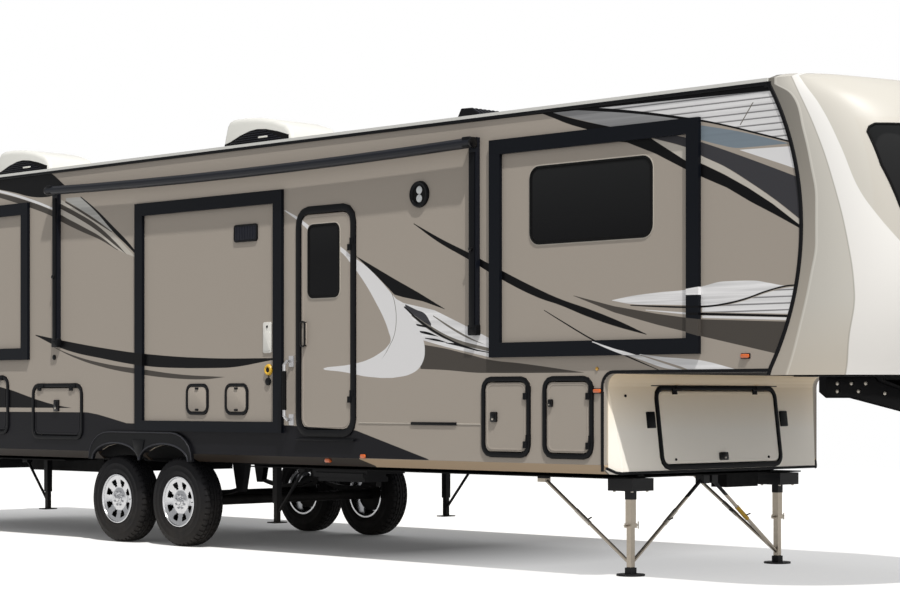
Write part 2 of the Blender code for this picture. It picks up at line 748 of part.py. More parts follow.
def make_roof():
    """Build the crowned roof with its gutters."""
    out = HALF_WIDTH + GUTTER_OUT
    low = EAVE_Z - GUTTER_DROP
    edge = EAVE_Z + ROOF_EDGE
    rise = ROOF_CROWN - ROOF_EDGE
    radius = roof_radius()
    half_angle = math.degrees(math.asin(out / radius))
    section = [(-out, low), (-HALF_WIDTH - SEAT, low), (-HALF_WIDTH - SEAT, EAVE_Z + SEAT),
               (HALF_WIDTH + SEAT, EAVE_Z + SEAT), (HALF_WIDTH + SEAT, low), (out, low)]
    section += arc((0.0, edge + rise - radius), radius, 90 - half_angle, 90 + half_angle, 12)
    place_part(prism("YZ", TAIL_X - 0.01, SEAM_END_X - SEAT, section), "roof", "roof_membrane")


def make_floor():
    """Build the main floor and the thin floor of the front hold."""
    half = HALF_WIDTH - WALL - SEAT
    rooms = block((TAIL_X + WALL + SEAT, -half, FLOOR_BOTTOM_Z), (STEP_X, half, FLOOR_TOP_Z))
    place_part(rooms, "floor", "underbelly_sheet")
    hold = block((STEP_X + SEAT, -half, FLOOR_BOTTOM_Z),
                 (FRONT_X - WALL - SEAT, half, FLOOR_BOTTOM_Z + HOLD_FLOOR))
    place_part(hold, "hold_floor", "underbelly_sheet")


def make_nose_deck():
    """Build the raised deck, with the riser down to the main floor."""
    half = HALF_WIDTH - WALL - SEAT
    inset = CAP_SHELL + 0.005
    row = CAP_ROWS[0]
    front = cap_outline(NOSE_Z, row.nose_x, inset)
    front = [point for point in front if abs(point[1]) < half]
    outline = [(STEP_X, -half), (SEAM_END_X - 0.02, -half)] + front + [(SEAM_END_X - 0.02, half), (STEP_X, half)]
    deck = prism("XY", NOSE_Z, DECK_TOP_Z, outline)
    riser = block((STEP_X, -half, FLOOR_BOTTOM_Z + HOLD_FLOOR + SEAT), (STEP_X + RISER, half, NOSE_Z + 0.05))
    riser.data.transform(Matrix.Translation((SEAT, 0, 0)))
    place_part(fuse(deck, riser), "nose_deck", "underbelly_sheet")


def make_fender(name, side):
    """Build the moulded trim round a double wheel arch."""
    outer_half = ARCH_HALF + 0.055
    points = [(AXLE_MID_X - outer_half, SKIRT_BOTTOM_Z)]
    points += arc((AXLE_MID_X - outer_half + 0.30, 0.765), (0.30, FENDER_TOP_Z - 0.765), 180, 90, 6)
    points += arc((AXLE_MID_X + outer_half - 0.30, 0.765), (0.30, FENDER_TOP_Z - 0.765), 90, 0, 6)
    points += [(AXLE_MID_X + outer_half, SKIRT_BOTTOM_Z)]
    lobe = ARCH_HALF / 2 - 0.012
    for centre in (AXLE_MID_X + ARCH_HALF / 2, AXLE_MID_X - ARCH_HALF / 2):
        points += arc((centre, SKIRT_BOTTOM_Z), (lobe, ARCH_TOP_Z - SKIRT_BOTTOM_Z), 0, 180, 10)
    depths = sorted((side * (HALF_WIDTH + SEAT), side * (HALF_WIDTH + 0.025)))
    place_part(prism("XZ", depths[0], depths[1], points), "fender_" + name, "black_trim")


# Chassis

def i_section(y, z0, z1):
    """Return the outline of an I-beam."""
    half, web = RAIL_WIDTH / 2, RAIL_WEB / 2
    return [(y - half, z0), (y + half, z0), (y + half, z0 + RAIL_FLANGE), (y + web, z0 + RAIL_FLANGE),
            (y + web, z1 - RAIL_FLANGE), (y + half, z1 - RAIL_FLANGE), (y + half, z1), (y - half, z1),
            (y - half, z1 - RAIL_FLANGE), (y - web, z1 - RAIL_FLANGE), (y - web, z0 + RAIL_FLANGE),
            (y - half, z0 + RAIL_FLANGE)]


def make_chassis():
    """Build the two main rails, their cross members and the rear bumper."""
    z0, z1 = RAIL_BOTTOM_Z, FLOOR_BOTTOM_Z - SEAT
    front = FRONT_X - WALL - 0.01
    rails = [prism("YZ", TAIL_X + 0.06, front, i_section(side * RAIL_Y, z0, z1)) for side in (-1, 1)]
    members = []
    for index in range(CROSS_MEMBERS):
        x = TAIL_X + 0.25 + (front - TAIL_X - 0.40) * index / (CROSS_MEMBERS - 1)
        members.append(block((x, -RAIL_Y, z0 + 0.04), (x + 0.05, RAIL_Y, z1 - 0.03)))
    back = TAIL_X - 0.02
    arms, drops = [], []
    for y in (-BUMPER_ARM_Y, BUMPER_ARM_Y):
        arms.append(block((back - BUMPER / 2, y - 0.03, 0.58), (TAIL_X + 0.28, y + 0.03, 0.64)))
        drops.append(block((TAIL_X + 0.25, y - 0.03, 0.58), (TAIL_X + 0.28, y + 0.03, z0 + 0.06)))
    reach = HALF_WIDTH - BUMPER_INSET
    bumper = block((back - BUMPER, -reach, 0.55), (back, reach, 0.55 + BUMPER))
    place_part(fuse(rails[0], rails[1], *members, *arms, *drops, bumper), "chassis_frame", "black_steel")


def make_underbelly():
    """Build the sheet under the floor, narrow between the wheels, with the tank and the legs' drive."""
    z1 = RAIL_BOTTOM_Z - SEAT
    wide = HALF_WIDTH - SKIRT_TUCK - SKIRT_SHEET - 0.01
    narrow = RAIL_Y - RAIL_WIDTH / 2 - 0.04
    back, front = TAIL_X + 0.30, FRONT_X - WALL
    near = [(back, -wide), (AXLE_MID_X - 1.35, -wide), (AXLE_MID_X - 1.35, -narrow),
            (AXLE_MID_X + 1.35, -narrow), (AXLE_MID_X + 1.35, -wide), (front, -wide)]
    outline = near + [(x, -y) for x, y in reversed(near)]
    sheet = prism("XY", z1 - BELLY, z1, outline)
    lap = z1 - BELLY / 2
    tank = block((TANK[0], -TANK_Y, TANK[2]), (TANK[1], TANK_Y, lap))
    drive = block((front - 0.160, DRIVE[0], DRIVE[2]), (front - 0.010, DRIVE[1], lap))
    place_part(fuse(sheet, tank, drive), "underbelly", "underbelly_sheet")


def make_axle(name, x):
    """Build an axle tube with its brake drums and spindles."""
    drum_out = WHEEL_FACE_Y - 0.075
    tube = rod((x, -drum_out, TYRE_RADIUS), (x, drum_out, TYRE_RADIUS), AXLE_TUBE_RADIUS, 16)
    pieces = []
    for side in (-1, 1):
        pieces.append(rod((x, side * (drum_out - 0.075), TYRE_RADIUS), (x, side * drum_out, TYRE_RADIUS),
                          DRUM_RADIUS, 18))
        pieces.append(rod((x, side * (drum_out - 0.01), TYRE_RADIUS),
                          (x, side * (WHEEL_FACE_Y - 0.035), TYRE_RADIUS), SPINDLE_RADIUS, 16))
    place_part(fuse(tube, *pieces), name, "black_steel", smooth=True)


TYRE_PROFILE = (
    (0.222, 0.098), (0.268, 0.112), (0.330, 0.108), (0.372, 0.094), (0.391, 0.070),
    (0.391, -0.070), (0.372, -0.094), (0.330, -0.108), (0.268, -0.112), (0.222, -0.098),
)
RIM_PROFILE = (
    (0.050, 0.088), (0.120, 0.080), (0.180, 0.088), (0.206, 0.108), (0.2217, 0.108),
    (0.2217, -0.100), (0.206, -0.100), (0.200, 0.050), (0.170, 0.064), (0.120, 0.056),
    (0.050, 0.056), (0.0303, 0.056), (0.0303, 0.076), (0.050, 0.076),
)


def make_wheel(name, x, side):
    """Build a tyre and its eight-window alloy rim on the axle's end."""
    middle = (x, side * (WHEEL_FACE_Y - TYRE_WIDTH / 2), TYRE_RADIUS)
    axis = make_axis("wheel_" + name + "_spin", middle)
    tyre = turned(TYRE_PROFILE, WHEEL_STEPS, middle, side)
    place_part(tyre, "tyre_" + name, "rubber", axis, smooth=True)
    rim = turned(RIM_PROFILE, WHEEL_STEPS, middle, side)
    cutters = []
    for index in range(8):
        angle = math.radians(45 * index + 22.5)
        reach = Vector((math.cos(angle), 0.0, math.sin(angle)))
        middle_of_hole = Vector(middle) + reach * 0.143
        inner = middle_of_hole + Vector((0, side * 0.02, 0))
        outer = middle_of_hole + Vector((0, side * 0.15, 0))
        cutters.append(rod(inner, outer, 0.029, 8))
    place_part(cut(rim, *cutters), "rim_" + name, "alloy", axis, smooth=True)


def make_suspension(name, side):
    """Build one side's hangers, leaf springs and equaliser."""
    y = side * RAIL_Y
    seat_z = TYRE_RADIUS + AXLE_TUBE_RADIUS - AXLE_FLAT
    eye_z = seat_z + 0.075
    top = RAIL_BOTTOM_Z - SEAT
    half = AXLE_SPACING / 2
    reach = 0.370
    pieces = []
    for x in (AXLE_MID_X - half - reach, AXLE_MID_X, AXLE_MID_X + half + reach):
        outline = [(x - 0.09, top), (x - 0.035, eye_z - 0.03), (x + 0.035, eye_z - 0.03), (x + 0.09, top)]
        pieces.append(prism("XZ", y - 0.032, y + 0.032, outline))
    inner = 0.110
    leaf, belly_of_leaves = 0.024, 0.018
    for centre, way in ((AXLE_MID_X - half, 1), (AXLE_MID_X + half, -1)):
        near, far = sorted((centre - way * reach, centre + way * (half - inner)))
        sag = eye_z - seat_z - leaf / 2 - belly_of_leaves - SEAT
        steps = 8
        upper, lower = [], []
        for index in range(steps + 1):
            x = near + (far - near) * index / steps
            share = (x - near) / (far - near)
            drop = sag * 4 * share * (1 - share)
            upper.append((x, eye_z + leaf / 2 - drop))
            lower.append((x, eye_z - leaf / 2 - drop - belly_of_leaves * math.sin(math.pi * share)))
        pieces.append(prism("XZ", y - 0.024, y + 0.024, upper + lower[::-1]))
    bar = [(AXLE_MID_X - inner - 0.02, eye_z - 0.02), (AXLE_MID_X, eye_z + 0.010),
           (AXLE_MID_X + inner + 0.02, eye_z - 0.02), (AXLE_MID_X + inner + 0.02, eye_z + 0.02),
           (AXLE_MID_X, eye_z + 0.055), (AXLE_MID_X - inner - 0.02, eye_z + 0.02)]
    pieces.append(prism("XZ", y - 0.036, y + 0.036, bar))
    place_part(fuse(pieces[0], *pieces[1:]), "suspension_" + name, "black_steel")


# Legs and coupling

LEG_X = 5.294
LEG_Y = RAIL_Y + 0.084
LEG_BOX = (0.117, 0.120, 0.092)     # half length, half width and depth of the gearbox above a leg
LEG_HOUSING = 0.061
LEG_TUBE = 0.055
LEG_DROP_TUBE = 0.043
LEG_COLLAR = 0.066
LEG_FOOT_RADIUS = 0.105
BRACE_RADIUS = 0.014
BRACE_REACH = 0.860


def leg_tube(y, width, low, high):
    """Return a square upright on a front leg's line."""
    half = width / 2
    return block((LEG_X - half, y - half, low), (LEG_X + half, y + half, high))


def make_landing_leg(name, side):
    """Build a front leg with its gearbox, drop tube, round foot and two braces."""
    y = side * LEG_Y
    top = RAIL_BOTTOM_Z - BELLY - 2 * SEAT
    half_x, half_y, deep = LEG_BOX
    box = block((LEG_X - half_x, y - half_y, top - deep), (LEG_X + half_x, y + half_y, top))
    tubes = [leg_tube(y, LEG_HOUSING, 0.557, top - deep / 2), leg_tube(y, LEG_TUBE, 0.370, 0.580),
             leg_tube(y, LEG_COLLAR, 0.350, 0.384), leg_tube(y, LEG_DROP_TUBE, 0.030, 0.375),
             leg_tube(y, LEG_HOUSING, 0.008, 0.060)]
    foot = rod((LEG_X, y, 0.0), (LEG_X, y, 0.014), LEG_FOOT_RADIUS, 20)
    pin = rod((LEG_X, y - 0.060, 0.367), (LEG_X, y + 0.060, 0.367), 0.008, 8)
    low = (LEG_X, y, 0.085)
    hub = side * 0.050
    braces = [rod(low, (LEG_X - BRACE_REACH, y, top - 0.02), BRACE_RADIUS, 10),
              rod(low, (LEG_X, hub, top - 0.02), BRACE_RADIUS, 10)]
    shoes = [block((LEG_X - BRACE_REACH - 0.04, y - 0.03, top - 0.05),
                   (LEG_X - BRACE_REACH + 0.04, y + 0.03, top)),
             block((LEG_X - 0.04, hub - 0.035, top - 0.06), (LEG_X + 0.04, hub + 0.035, top))]
    leg = fuse(box, *tubes, foot, pin, *braces, *shoes)
    place_part(leg, "landing_leg_" + name, "zinc_steel")


Stabilizer = namedtuple("Stabilizer", "name x side back")
STABILIZERS = (
    Stabilizer("right_rear", -2.06, -1, -0.35),
    Stabilizer("right_front", 1.33, -1, 0.35),
    Stabilizer("left_rear", -2.06, 1, -0.35),
    Stabilizer("left_front", 1.60, 1, 0.35),
)


def make_stabilizer(row):
    """Build a retracted stabilizer leg with its strut."""
    y = row.side * LEG_Y
    top = RAIL_BOTTOM_Z - BELLY - 2 * SEAT
    outer = block((row.x - 0.028, y - 0.028, 0.400), (row.x + 0.028, y + 0.028, top))
    inner = block((row.x - 0.021, y - 0.021, 0.235), (row.x + 0.021, y + 0.021, 0.420))
    foot = block((row.x - 0.050, y - 0.070, 0.230), (row.x + 0.050, y + 0.070, 0.240))
    plate = block((row.x - 0.06, y - 0.06, top - 0.01), (row.x + 0.06, y + 0.06, top))
    strut = beam((row.x, y, 0.300), (row.x + row.back, y, top - 0.015), 0.022, 0.014)
    shoe = block((row.x + row.back - 0.04, y - 0.03, top - 0.04), (row.x + row.back + 0.04, y + 0.03, top))
    place_part(fuse(outer, inner, foot, plate, strut, shoe), "stabilizer_" + row.name, "black_steel")


PIN_X = 7.490
PIN_RADIUS = 0.0254
PIN_HEAD_RADIUS = 0.036
PIN_BOX = (             # outline of the box's underside and nose, stations counted from the pin
    (-1.040, 1.340), (-0.980, 1.297), (-0.780, 1.297), (-0.320, 1.195), (0.240, 1.195), (0.240, 1.240),
    (-0.120, 1.300), (-0.490, 1.425),
)


def make_pin_box():
    """Build the pin box with its king pin."""
    top = NOSE_Z - SEAT
    outline = [(PIN_X + PIN_BOX[0][0], top)] + [(PIN_X + x, z) for x, z in PIN_BOX]
    outline.append((PIN_X + PIN_BOX[-1][0], top))
    body = prism("XZ", -0.17, 0.17, outline)
    flange = block((PIN_X - 1.08, -0.42, top - 0.022), (PIN_X - 0.28, 0.42, top))
    shoe = block((PIN_X - 0.26, -0.21, 1.183), (PIN_X + 0.26, 0.21, 1.205))
    pin = rod((PIN_X, 0, 1.080), (PIN_X, 0, 1.190), PIN_RADIUS, 20)
    head = rod((PIN_X, 0, 1.080), (PIN_X, 0, 1.098), PIN_HEAD_RADIUS, 20)
    place_part(fuse(body, flange, shoe, pin, head), "pin_box", "black_steel")


# Fittings

AWNING_ENDS = (-1.370, 4.150)
AWNING_ARMS = (-1.320, 4.105)
AWNING_ARM = 0.080      # width of an arm
AWNING_ARM_LOW_Z = 1.800
AWNING_OUT = 0.085      # roller's axis in front of the wall
AWNING_Z = 3.217        # roller's axis at its ends
AWNING_SAG = 0.036      # how far its middle hangs below them
AWNING_RADIUS = 0.040


def make_awning():
    """Build the rolled awning, hanging slack between its two arms folded against the wall."""
    wall = -HALF_WIDTH - SEAT
    tube_y = -HALF_WIDTH - AWNING_OUT
    steps = 8
    points = []
    for index in range(steps + 1):
        share = index / steps
        x = AWNING_ENDS[0] + (AWNING_ENDS[1] - AWNING_ENDS[0]) * share
        points.append((x, tube_y, AWNING_Z - AWNING_SAG * 4 * share * (1 - share)))
    pieces = []
    half = AWNING_ARM / 2
    for x in AWNING_ARMS:
        pieces.append(block((x - half, wall - 0.040, AWNING_ARM_LOW_Z), (x + half, wall, AWNING_Z + 0.045)))
        pieces.append(block((x - half + 0.006, tube_y - 0.030, AWNING_Z - 0.030),
                            (x + half - 0.006, wall - 0.020, AWNING_Z + 0.030)))
    place_part(fuse(bent_tube(points, AWNING_RADIUS, 5), *pieces), "awning", "black_trim")


AIR_CONDITIONER = (     # side view of the shroud: from its middle towards the nose, and height
    (-0.420, 0.0), (0.420, 0.0), (0.420, 0.085), (0.360, 0.200), (0.250, 0.290), (0.060, 0.360),
    (-0.130, 0.375), (-0.280, 0.350), (-0.370, 0.260), (-0.420, 0.110),
)
AIR_CONDITIONER_HALF = 0.280
ROOF_VENT = (
    (-0.190, 0.0), (0.190, 0.0), (0.190, 0.040), (0.160, 0.050), (0.130, 0.170), (0.050, 0.215),
    (-0.060, 0.220), (-0.160, 0.050), (-0.190, 0.040),
)
ROOF_VENT_HALF = 0.170


def make_air_conditioner(name, x):
    """Build a roof air conditioner: a shroud that narrows upwards and slopes towards the nose."""
    base_z = EAVE_Z + ROOF_CROWN + SEAT
    half = AIR_CONDITIONER_HALF
    height = max(z for _, z in AIR_CONDITIONER)
    shroud = prism("XZ", -half, half, [(x + along, base_z + z) for along, z in AIR_CONDITIONER])
    for side in (-1, 1):
        wedge = [(side * (half + 0.1), base_z + 0.08), (side * half, base_z + 0.08),
                 (side * (half - 0.10), base_z + height + 0.05), (side * (half + 0.1), base_z + height + 0.05)]
        shroud = cut(shroud, prism("YZ", x - 0.6, x + 0.6, wedge))
    place_part(shroud, name, "white_shroud")


def make_roof_vent():
    """Build the hooded roof vent."""
    x, base_z = 2.90, EAVE_Z + ROOF_CROWN + SEAT
    section = [(x + along, base_z + z) for along, z in ROOF_VENT]
    place_part(prism("XZ", -ROOF_VENT_HALF, ROOF_VENT_HALF, section), "roof_vent", "black_trim")


LADDER_INSET = 0.1325   # from the trailer's side to the ladder's outer rail
LADDER_WIDTH = 0.350
LADDER_STAND = 0.110    # from the rear wall to the rungs
LADDER_RUNGS = 8
LADDER_RUNG_Z = (1.200, 3.300)      # lowest and highest rung


def make_ladder():
    """Build the ladder on the rear wall."""
    wall = TAIL_X - SEAT
    pieces = []
    inner_y, outer_y = HALF_WIDTH - LADDER_INSET - LADDER_WIDTH, HALF_WIDTH - LADDER_INSET
    stand = LADDER_STAND
    for y in (inner_y, outer_y):
        points = [(wall, y, 1.10), (wall - stand, y, 1.10), (wall - stand, y, 3.42), (wall - 0.06, y, 3.56),
                  (wall + 0.20, y, 3.60), (wall + 0.27, y, 3.55), (wall + 0.27, y, roof_z(y - 0.013) + SEAT)]
        pieces.append(bent_tube(points, 0.0125, 1))
    for index in range(LADDER_RUNGS):
        z = LADDER_RUNG_Z[0] + (LADDER_RUNG_Z[1] - LADDER_RUNG_Z[0]) * index / (LADDER_RUNGS - 1)
        pieces.append(rod((wall - stand, inner_y - 0.01, z), (wall - stand, outer_y + 0.01, z), 0.010, 6))
    for y in (inner_y, outer_y):
        pieces.append(rod((wall, y, 2.30), (wall - stand, y, 2.30), 0.010, 6))
    place_part(fuse(pieces[0], *pieces[1:]), "ladder", "alloy")


STEP_INSET = 0.1225     # from the wall's face to the folded step's edge
STEP_ENDS = (2.080, 2.740)


def make_entry_step():
    """Build the double entry step, folded under the sill."""
    top = RAIL_BOTTOM_Z - BELLY - 2 * SEAT
    edge = -HALF_WIDTH + STEP_INSET
    near, far = STEP_ENDS
    housing = block((near, edge + 0.02, top - 0.030), (far, edge + 0.44, top))
    upper = block((near + 0.03, edge, top - 0.060), (far - 0.03, edge + 0.26, top - 0.025))
    lower = block((near + 0.05, edge + 0.04, top - 0.095), (far - 0.05, edge + 0.30, top - 0.055))
    place_part(fuse(housing, upper, lower), "entry_step", "black_steel")


def make_grab_handle():
    """Build the folding grab handle, swung out beside the entry door."""
    wall = -HALF_WIDTH - SEAT
    x = 1.985
    out = wall - 0.085
    points = [(x, wall, 1.60), (x, out + 0.03, 1.60), (x, out, 1.57), (x, out, 1.15), (x, out + 0.03, 1.12),
              (x, wall, 1.12)]
    tube = bent_tube(points, 0.014, 2)
    plates = [block((x - 0.03, wall - 0.010, z - 0.045), (x + 0.03, wall, z + 0.045)) for z in (1.60, 1.12)]
    place_part(fuse(tube, *plates), "grab_handle", "zinc_steel")


def main():
    """Build the whole trailer."""
    make_chassis()
    make_underbelly()
    make_floor()
    make_nose_deck()
    for name, side in (("right", -1), ("left", 1)):
        make_side_wall(name, side)
        make_fender(name, side)
        make_suspension(name, side)
        make_landing_leg(name, side)
        for end, way in (("front", 1), ("rear", -1)):
            make_wheel(name + "_" + end, AXLE_MID_X + way * AXLE_SPACING / 2, side)
    make_axle("axle_front", AXLE_MID_X + AXLE_SPACING / 2)
    make_axle("axle_rear", AXLE_MID_X - AXLE_SPACING / 2)
    make_rear_wall()
    make_front_wall()
    make_roof()
    make_cap()
    axes = {}
    for slide in SLIDES:
        axes[slide.name] = make_slide(slide)
    for door in DOORS:
        axes[door.name] = make_door(door)
    for window in WINDOWS:
        make_window(window, axes[window.host])
    for row in STABILIZERS:
        make_stabilizer(row)
    make_pin_box()
    make_awning()
    make_air_conditioner("air_conditioner_front", 0.28)
    make_air_conditioner("air_conditioner_rear", -3.45)
    make_roof_vent()
    make_ladder()
    make_entry_step()
    make_grab_handle()


main()
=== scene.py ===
"""Looks, fittings, camera and lights for the parked fifth wheel trailer.

Lengths are metres. Tables give places as stations: x counted from the middle of the axle pair, as in
the trailer's own drawing, y from the centre plane and z from the ground.
"""
import logging
import math
from dataclasses import dataclass
from enum import Enum

import bmesh
import bpy
from mathutils import Matrix, Vector


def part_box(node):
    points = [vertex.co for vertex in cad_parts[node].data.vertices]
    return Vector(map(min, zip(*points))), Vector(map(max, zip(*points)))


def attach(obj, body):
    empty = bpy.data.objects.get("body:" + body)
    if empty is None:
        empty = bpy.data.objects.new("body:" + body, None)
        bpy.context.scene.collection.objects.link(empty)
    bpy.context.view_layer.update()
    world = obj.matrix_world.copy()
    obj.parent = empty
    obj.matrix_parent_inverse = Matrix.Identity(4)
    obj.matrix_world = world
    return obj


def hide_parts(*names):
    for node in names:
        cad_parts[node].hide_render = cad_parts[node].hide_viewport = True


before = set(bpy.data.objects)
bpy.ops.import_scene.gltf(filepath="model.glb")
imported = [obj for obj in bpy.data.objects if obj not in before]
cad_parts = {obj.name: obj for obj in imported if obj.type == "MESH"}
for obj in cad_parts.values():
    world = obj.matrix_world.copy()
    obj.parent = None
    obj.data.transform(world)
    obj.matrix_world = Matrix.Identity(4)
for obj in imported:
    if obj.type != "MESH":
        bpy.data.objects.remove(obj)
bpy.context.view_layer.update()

LOG = logging.getLogger("trailer")
STATION_ZERO = -1.715   # x of station 0 in the scene
HALF_WIDTH = 1.2825     # outer face of the side walls
TAIL_X = -4.45          # rear wall
FRONT_X = 5.38          # lower front wall at its top edge
FRONT_TOP_Z = 1.38      # that edge's height
FRONT_LEAN = math.atan(0.08 / 0.632)
NOSE_Z = 1.47           # lower end of the nose's seam
EAVE_Z = 3.4            # upper end of it
SEAM_END_X = 6.84       # the seam's station at both ends
SEAM_BULGE = 0.268      # how far it bows ahead between them
WALL_SKIN = 0.0012      # what stands out further than this from a wall is trim
LEAF_SKIN = 0.0072      # the same for a door leaf
LEG_X = 5.294           # both front legs

Point = tuple[float, float]
Place = tuple[float, float, float]
Colour = tuple[float, float, float]
Paint = Colour | bpy.types.NodeSocket


def linear(red: int, green: int, blue: int) -> Colour:
    """Return an sRGB colour of 0 to 255 as linear values.

    Args:
        red: Red channel.
        green: Green channel.
        blue: Blue channel.

    Returns:
        The linear colour.
    """
    channels = []
    for value in (red, green, blue):
        share = value / 255
        channels.append(share / 12.92 if share <= 0.04045 else ((share + 0.055) / 1.055) ** 2.4)
    return channels[0], channels[1], channels[2]


def seam_x(height: float) -> float:
    """Return the station of the seam between the side walls and the moulded nose.

    Args:
        height: Height above the ground.

    Returns:
        The seam's station at that height.
    """
    half = (EAVE_Z - NOSE_Z) / 2
    radius = (half * half + SEAM_BULGE * SEAM_BULGE) / (2 * SEAM_BULGE)
    rise = min(max(height, NOSE_Z), EAVE_Z) - (NOSE_Z + half)
    return SEAM_END_X + SEAM_BULGE - radius + math.sqrt(radius * radius - rise * rise)


def grown(a: Point, b: Point, by: float) -> tuple[Point, Point]:
    """Return a rectangle's two spans, made longer at each end."""
    return (a[0] - by, a[1] + by), (b[0] - by, b[1] + by)


def strip(half: float, flat: float, high: float) -> tuple[Point, ...]:
    """Return a strip's section from its half width, its flat top's half width and its height."""
    return (-half, -0.004), (half, -0.004), (half, 0.003), (flat, high), (-flat, high), (-half, 0.003)


def arc(centre: Point, reach: Point, start: float, turn: float, steps: int, out: float = 0.0) -> list[Place]:
    """Return points along an elliptic arc on a surface.

    Args:
        centre: Its middle.
        reach: Half its length and half its height.
        start: Angle of the first point.
        turn: Angle from the first point to the last.
        steps: How many equal steps it has.
        out: How far out it lies.

    Returns:
        The points, one more than the steps.
    """
    points = []
    for step in range(steps + 1):
        angle = start + turn * step / steps
        points.append((centre[0] + reach[0] * math.cos(angle), centre[1] + reach[1] * math.sin(angle), out))
    return points


class Tint(Enum):
    """Colours of the painted and stuck-on graphics, and of the skirt's painted shade and ground reflection.
    """

    BLACK = linear(12, 12, 14)
    BAND = linear(24, 24, 28)
    CHARCOAL = linear(60, 60, 64)
    TAUPE = linear(74, 70, 66)
    STONE = linear(112, 108, 102)
    GREIGE = linear(160, 152, 143)
    SILVER = linear(170, 170, 168)
    PALE = linear(186, 181, 173)
    WHITE = linear(218, 218, 220)
    BLUE_GREY = linear(118, 130, 140)
    # Painted shade and ground reflection on the skirt's lower lip: darker and warm brown.
    SKIRT = linear(46, 39, 33)
    FOOT = linear(188, 165, 137)
    HAZE = linear(138, 139, 141)


class Value:
    """A number socket that can be used in arithmetic."""

    def __init__(self, graph: "Tree", socket: bpy.types.NodeSocket) -> None:
        """Wrap a socket of a graph."""
        self.graph = graph
        self.socket = socket

    def __add__(self, other: "Value | float") -> "Value":
        """Return the sum."""
        return self.graph.maths("ADD", self, other)

    def __radd__(self, other: float) -> "Value":
        """Return the sum."""
        return self.graph.maths("ADD", other, self)

    def __sub__(self, other: "Value | float") -> "Value":
        """Return the difference."""
        return self.graph.maths("SUBTRACT", self, other)

    def __rsub__(self, other: float) -> "Value":
        """Return the difference the other way round."""
        return self.graph.maths("SUBTRACT", other, self)

    def __mul__(self, other: "Value | float") -> "Value":
        """Return the product."""
        return self.graph.maths("MULTIPLY", self, other)

    def __rmul__(self, other: float) -> "Value":
        """Return the product."""
        return self.graph.maths("MULTIPLY", other, self)

    def __truediv__(self, other: "Value | float") -> "Value":
        """Return the quotient."""
        return self.graph.maths("DIVIDE", self, other)

    def __pow__(self, other: "Value | float") -> "Value":
        """Return the power."""
        return self.graph.maths("POWER", self, other)

    def __abs__(self) -> "Value":
        """Return the value without its sign."""
        return self.graph.maths("ABSOLUTE", self)

    def most(self, other: "Value | float") -> "Value":
        """Return the larger of two values."""
        return self.graph.maths("MAXIMUM", self, other)

    def above(self, edge: "Value | float", soft: float = 0.002) -> "Value":
        """Return a mask that grows from 0 at an edge to 1 a soft distance above it."""
        return self.graph.maths("DIVIDE", self - edge, soft, clamp=True)

    def below(self, edge: "Value | float", soft: float = 0.002) -> "Value":
        """Return a mask that grows from 0 at an edge to 1 a soft distance below it."""
        return self.graph.maths("DIVIDE", edge - self, soft, clamp=True)


class Tree:
    """A node tree that nodes are added to."""

    def __init__(self, tree: bpy.types.NodeTree) -> None:
        """Take up a tree."""
        self.tree = tree

    def node(self, kind: str, settings: dict | None = None, sockets: dict | None = None) -> bpy.types.Node:
        """Add a node.

        Args:
            kind: The node's type.
            settings: Its properties; "points" fills a smooth curve and "corners" a straight one.
            sockets: Values, links or colours for its inputs, by name or index.

        Returns:
            The node.
        """
        made = self.tree.nodes.new(kind)
        for key, value in (settings or {}).items():
            if key in ("points", "corners"):
                self._fill_curve(made, value, "AUTO_CLAMPED" if key == "points" else "VECTOR")
            else:
                setattr(made, key, value)
        self.feed(made, sockets or {})
        return made

    def feed(self, made: bpy.types.Node, sockets: dict) -> None:
        """Give a node's inputs their links, colours and numbers.

        Args:
            made: The node.
            sockets: Values, links or colours, by the input's name or index.
        """
        for key, value in sockets.items():
            entry = made.inputs[key]
            link = value.socket if isinstance(value, Value) else value
            if isinstance(link, bpy.types.NodeSocket):
                self.tree.links.new(link, entry)
            else:
                entry.default_value = (*value, 1.0) if entry.type == "RGBA" else value

    @staticmethod
    def _fill_curve(made: bpy.types.Node, points: tuple[Point, ...], handle: str) -> None:
        """Give a curve node its points, which may lie anywhere.

        Args:
            made: The node.
            points: The curve's points.
            handle: Kind of handle that joins them.
        """
        mapping = made.mapping
        mapping.use_clip = False
        mapping.extend = "HORIZONTAL"
        curve = mapping.curves[0]
        while len(curve.points) < len(points):
            curve.points.new(0.5, 0.5)
        for point, place in zip(curve.points, points):
            point.location = place
            point.handle_type = handle
        mapping.update()

    def maths(self, operation: str, *values: "Value | float", clamp: bool = False) -> Value:
        """Add a Math node and return its result, clamped to 0 to 1 if asked."""
        made = self.node("ShaderNodeMath", {"operation": operation, "use_clamp": clamp},
                         dict(enumerate(values)))
        return Value(self, made.outputs[0])


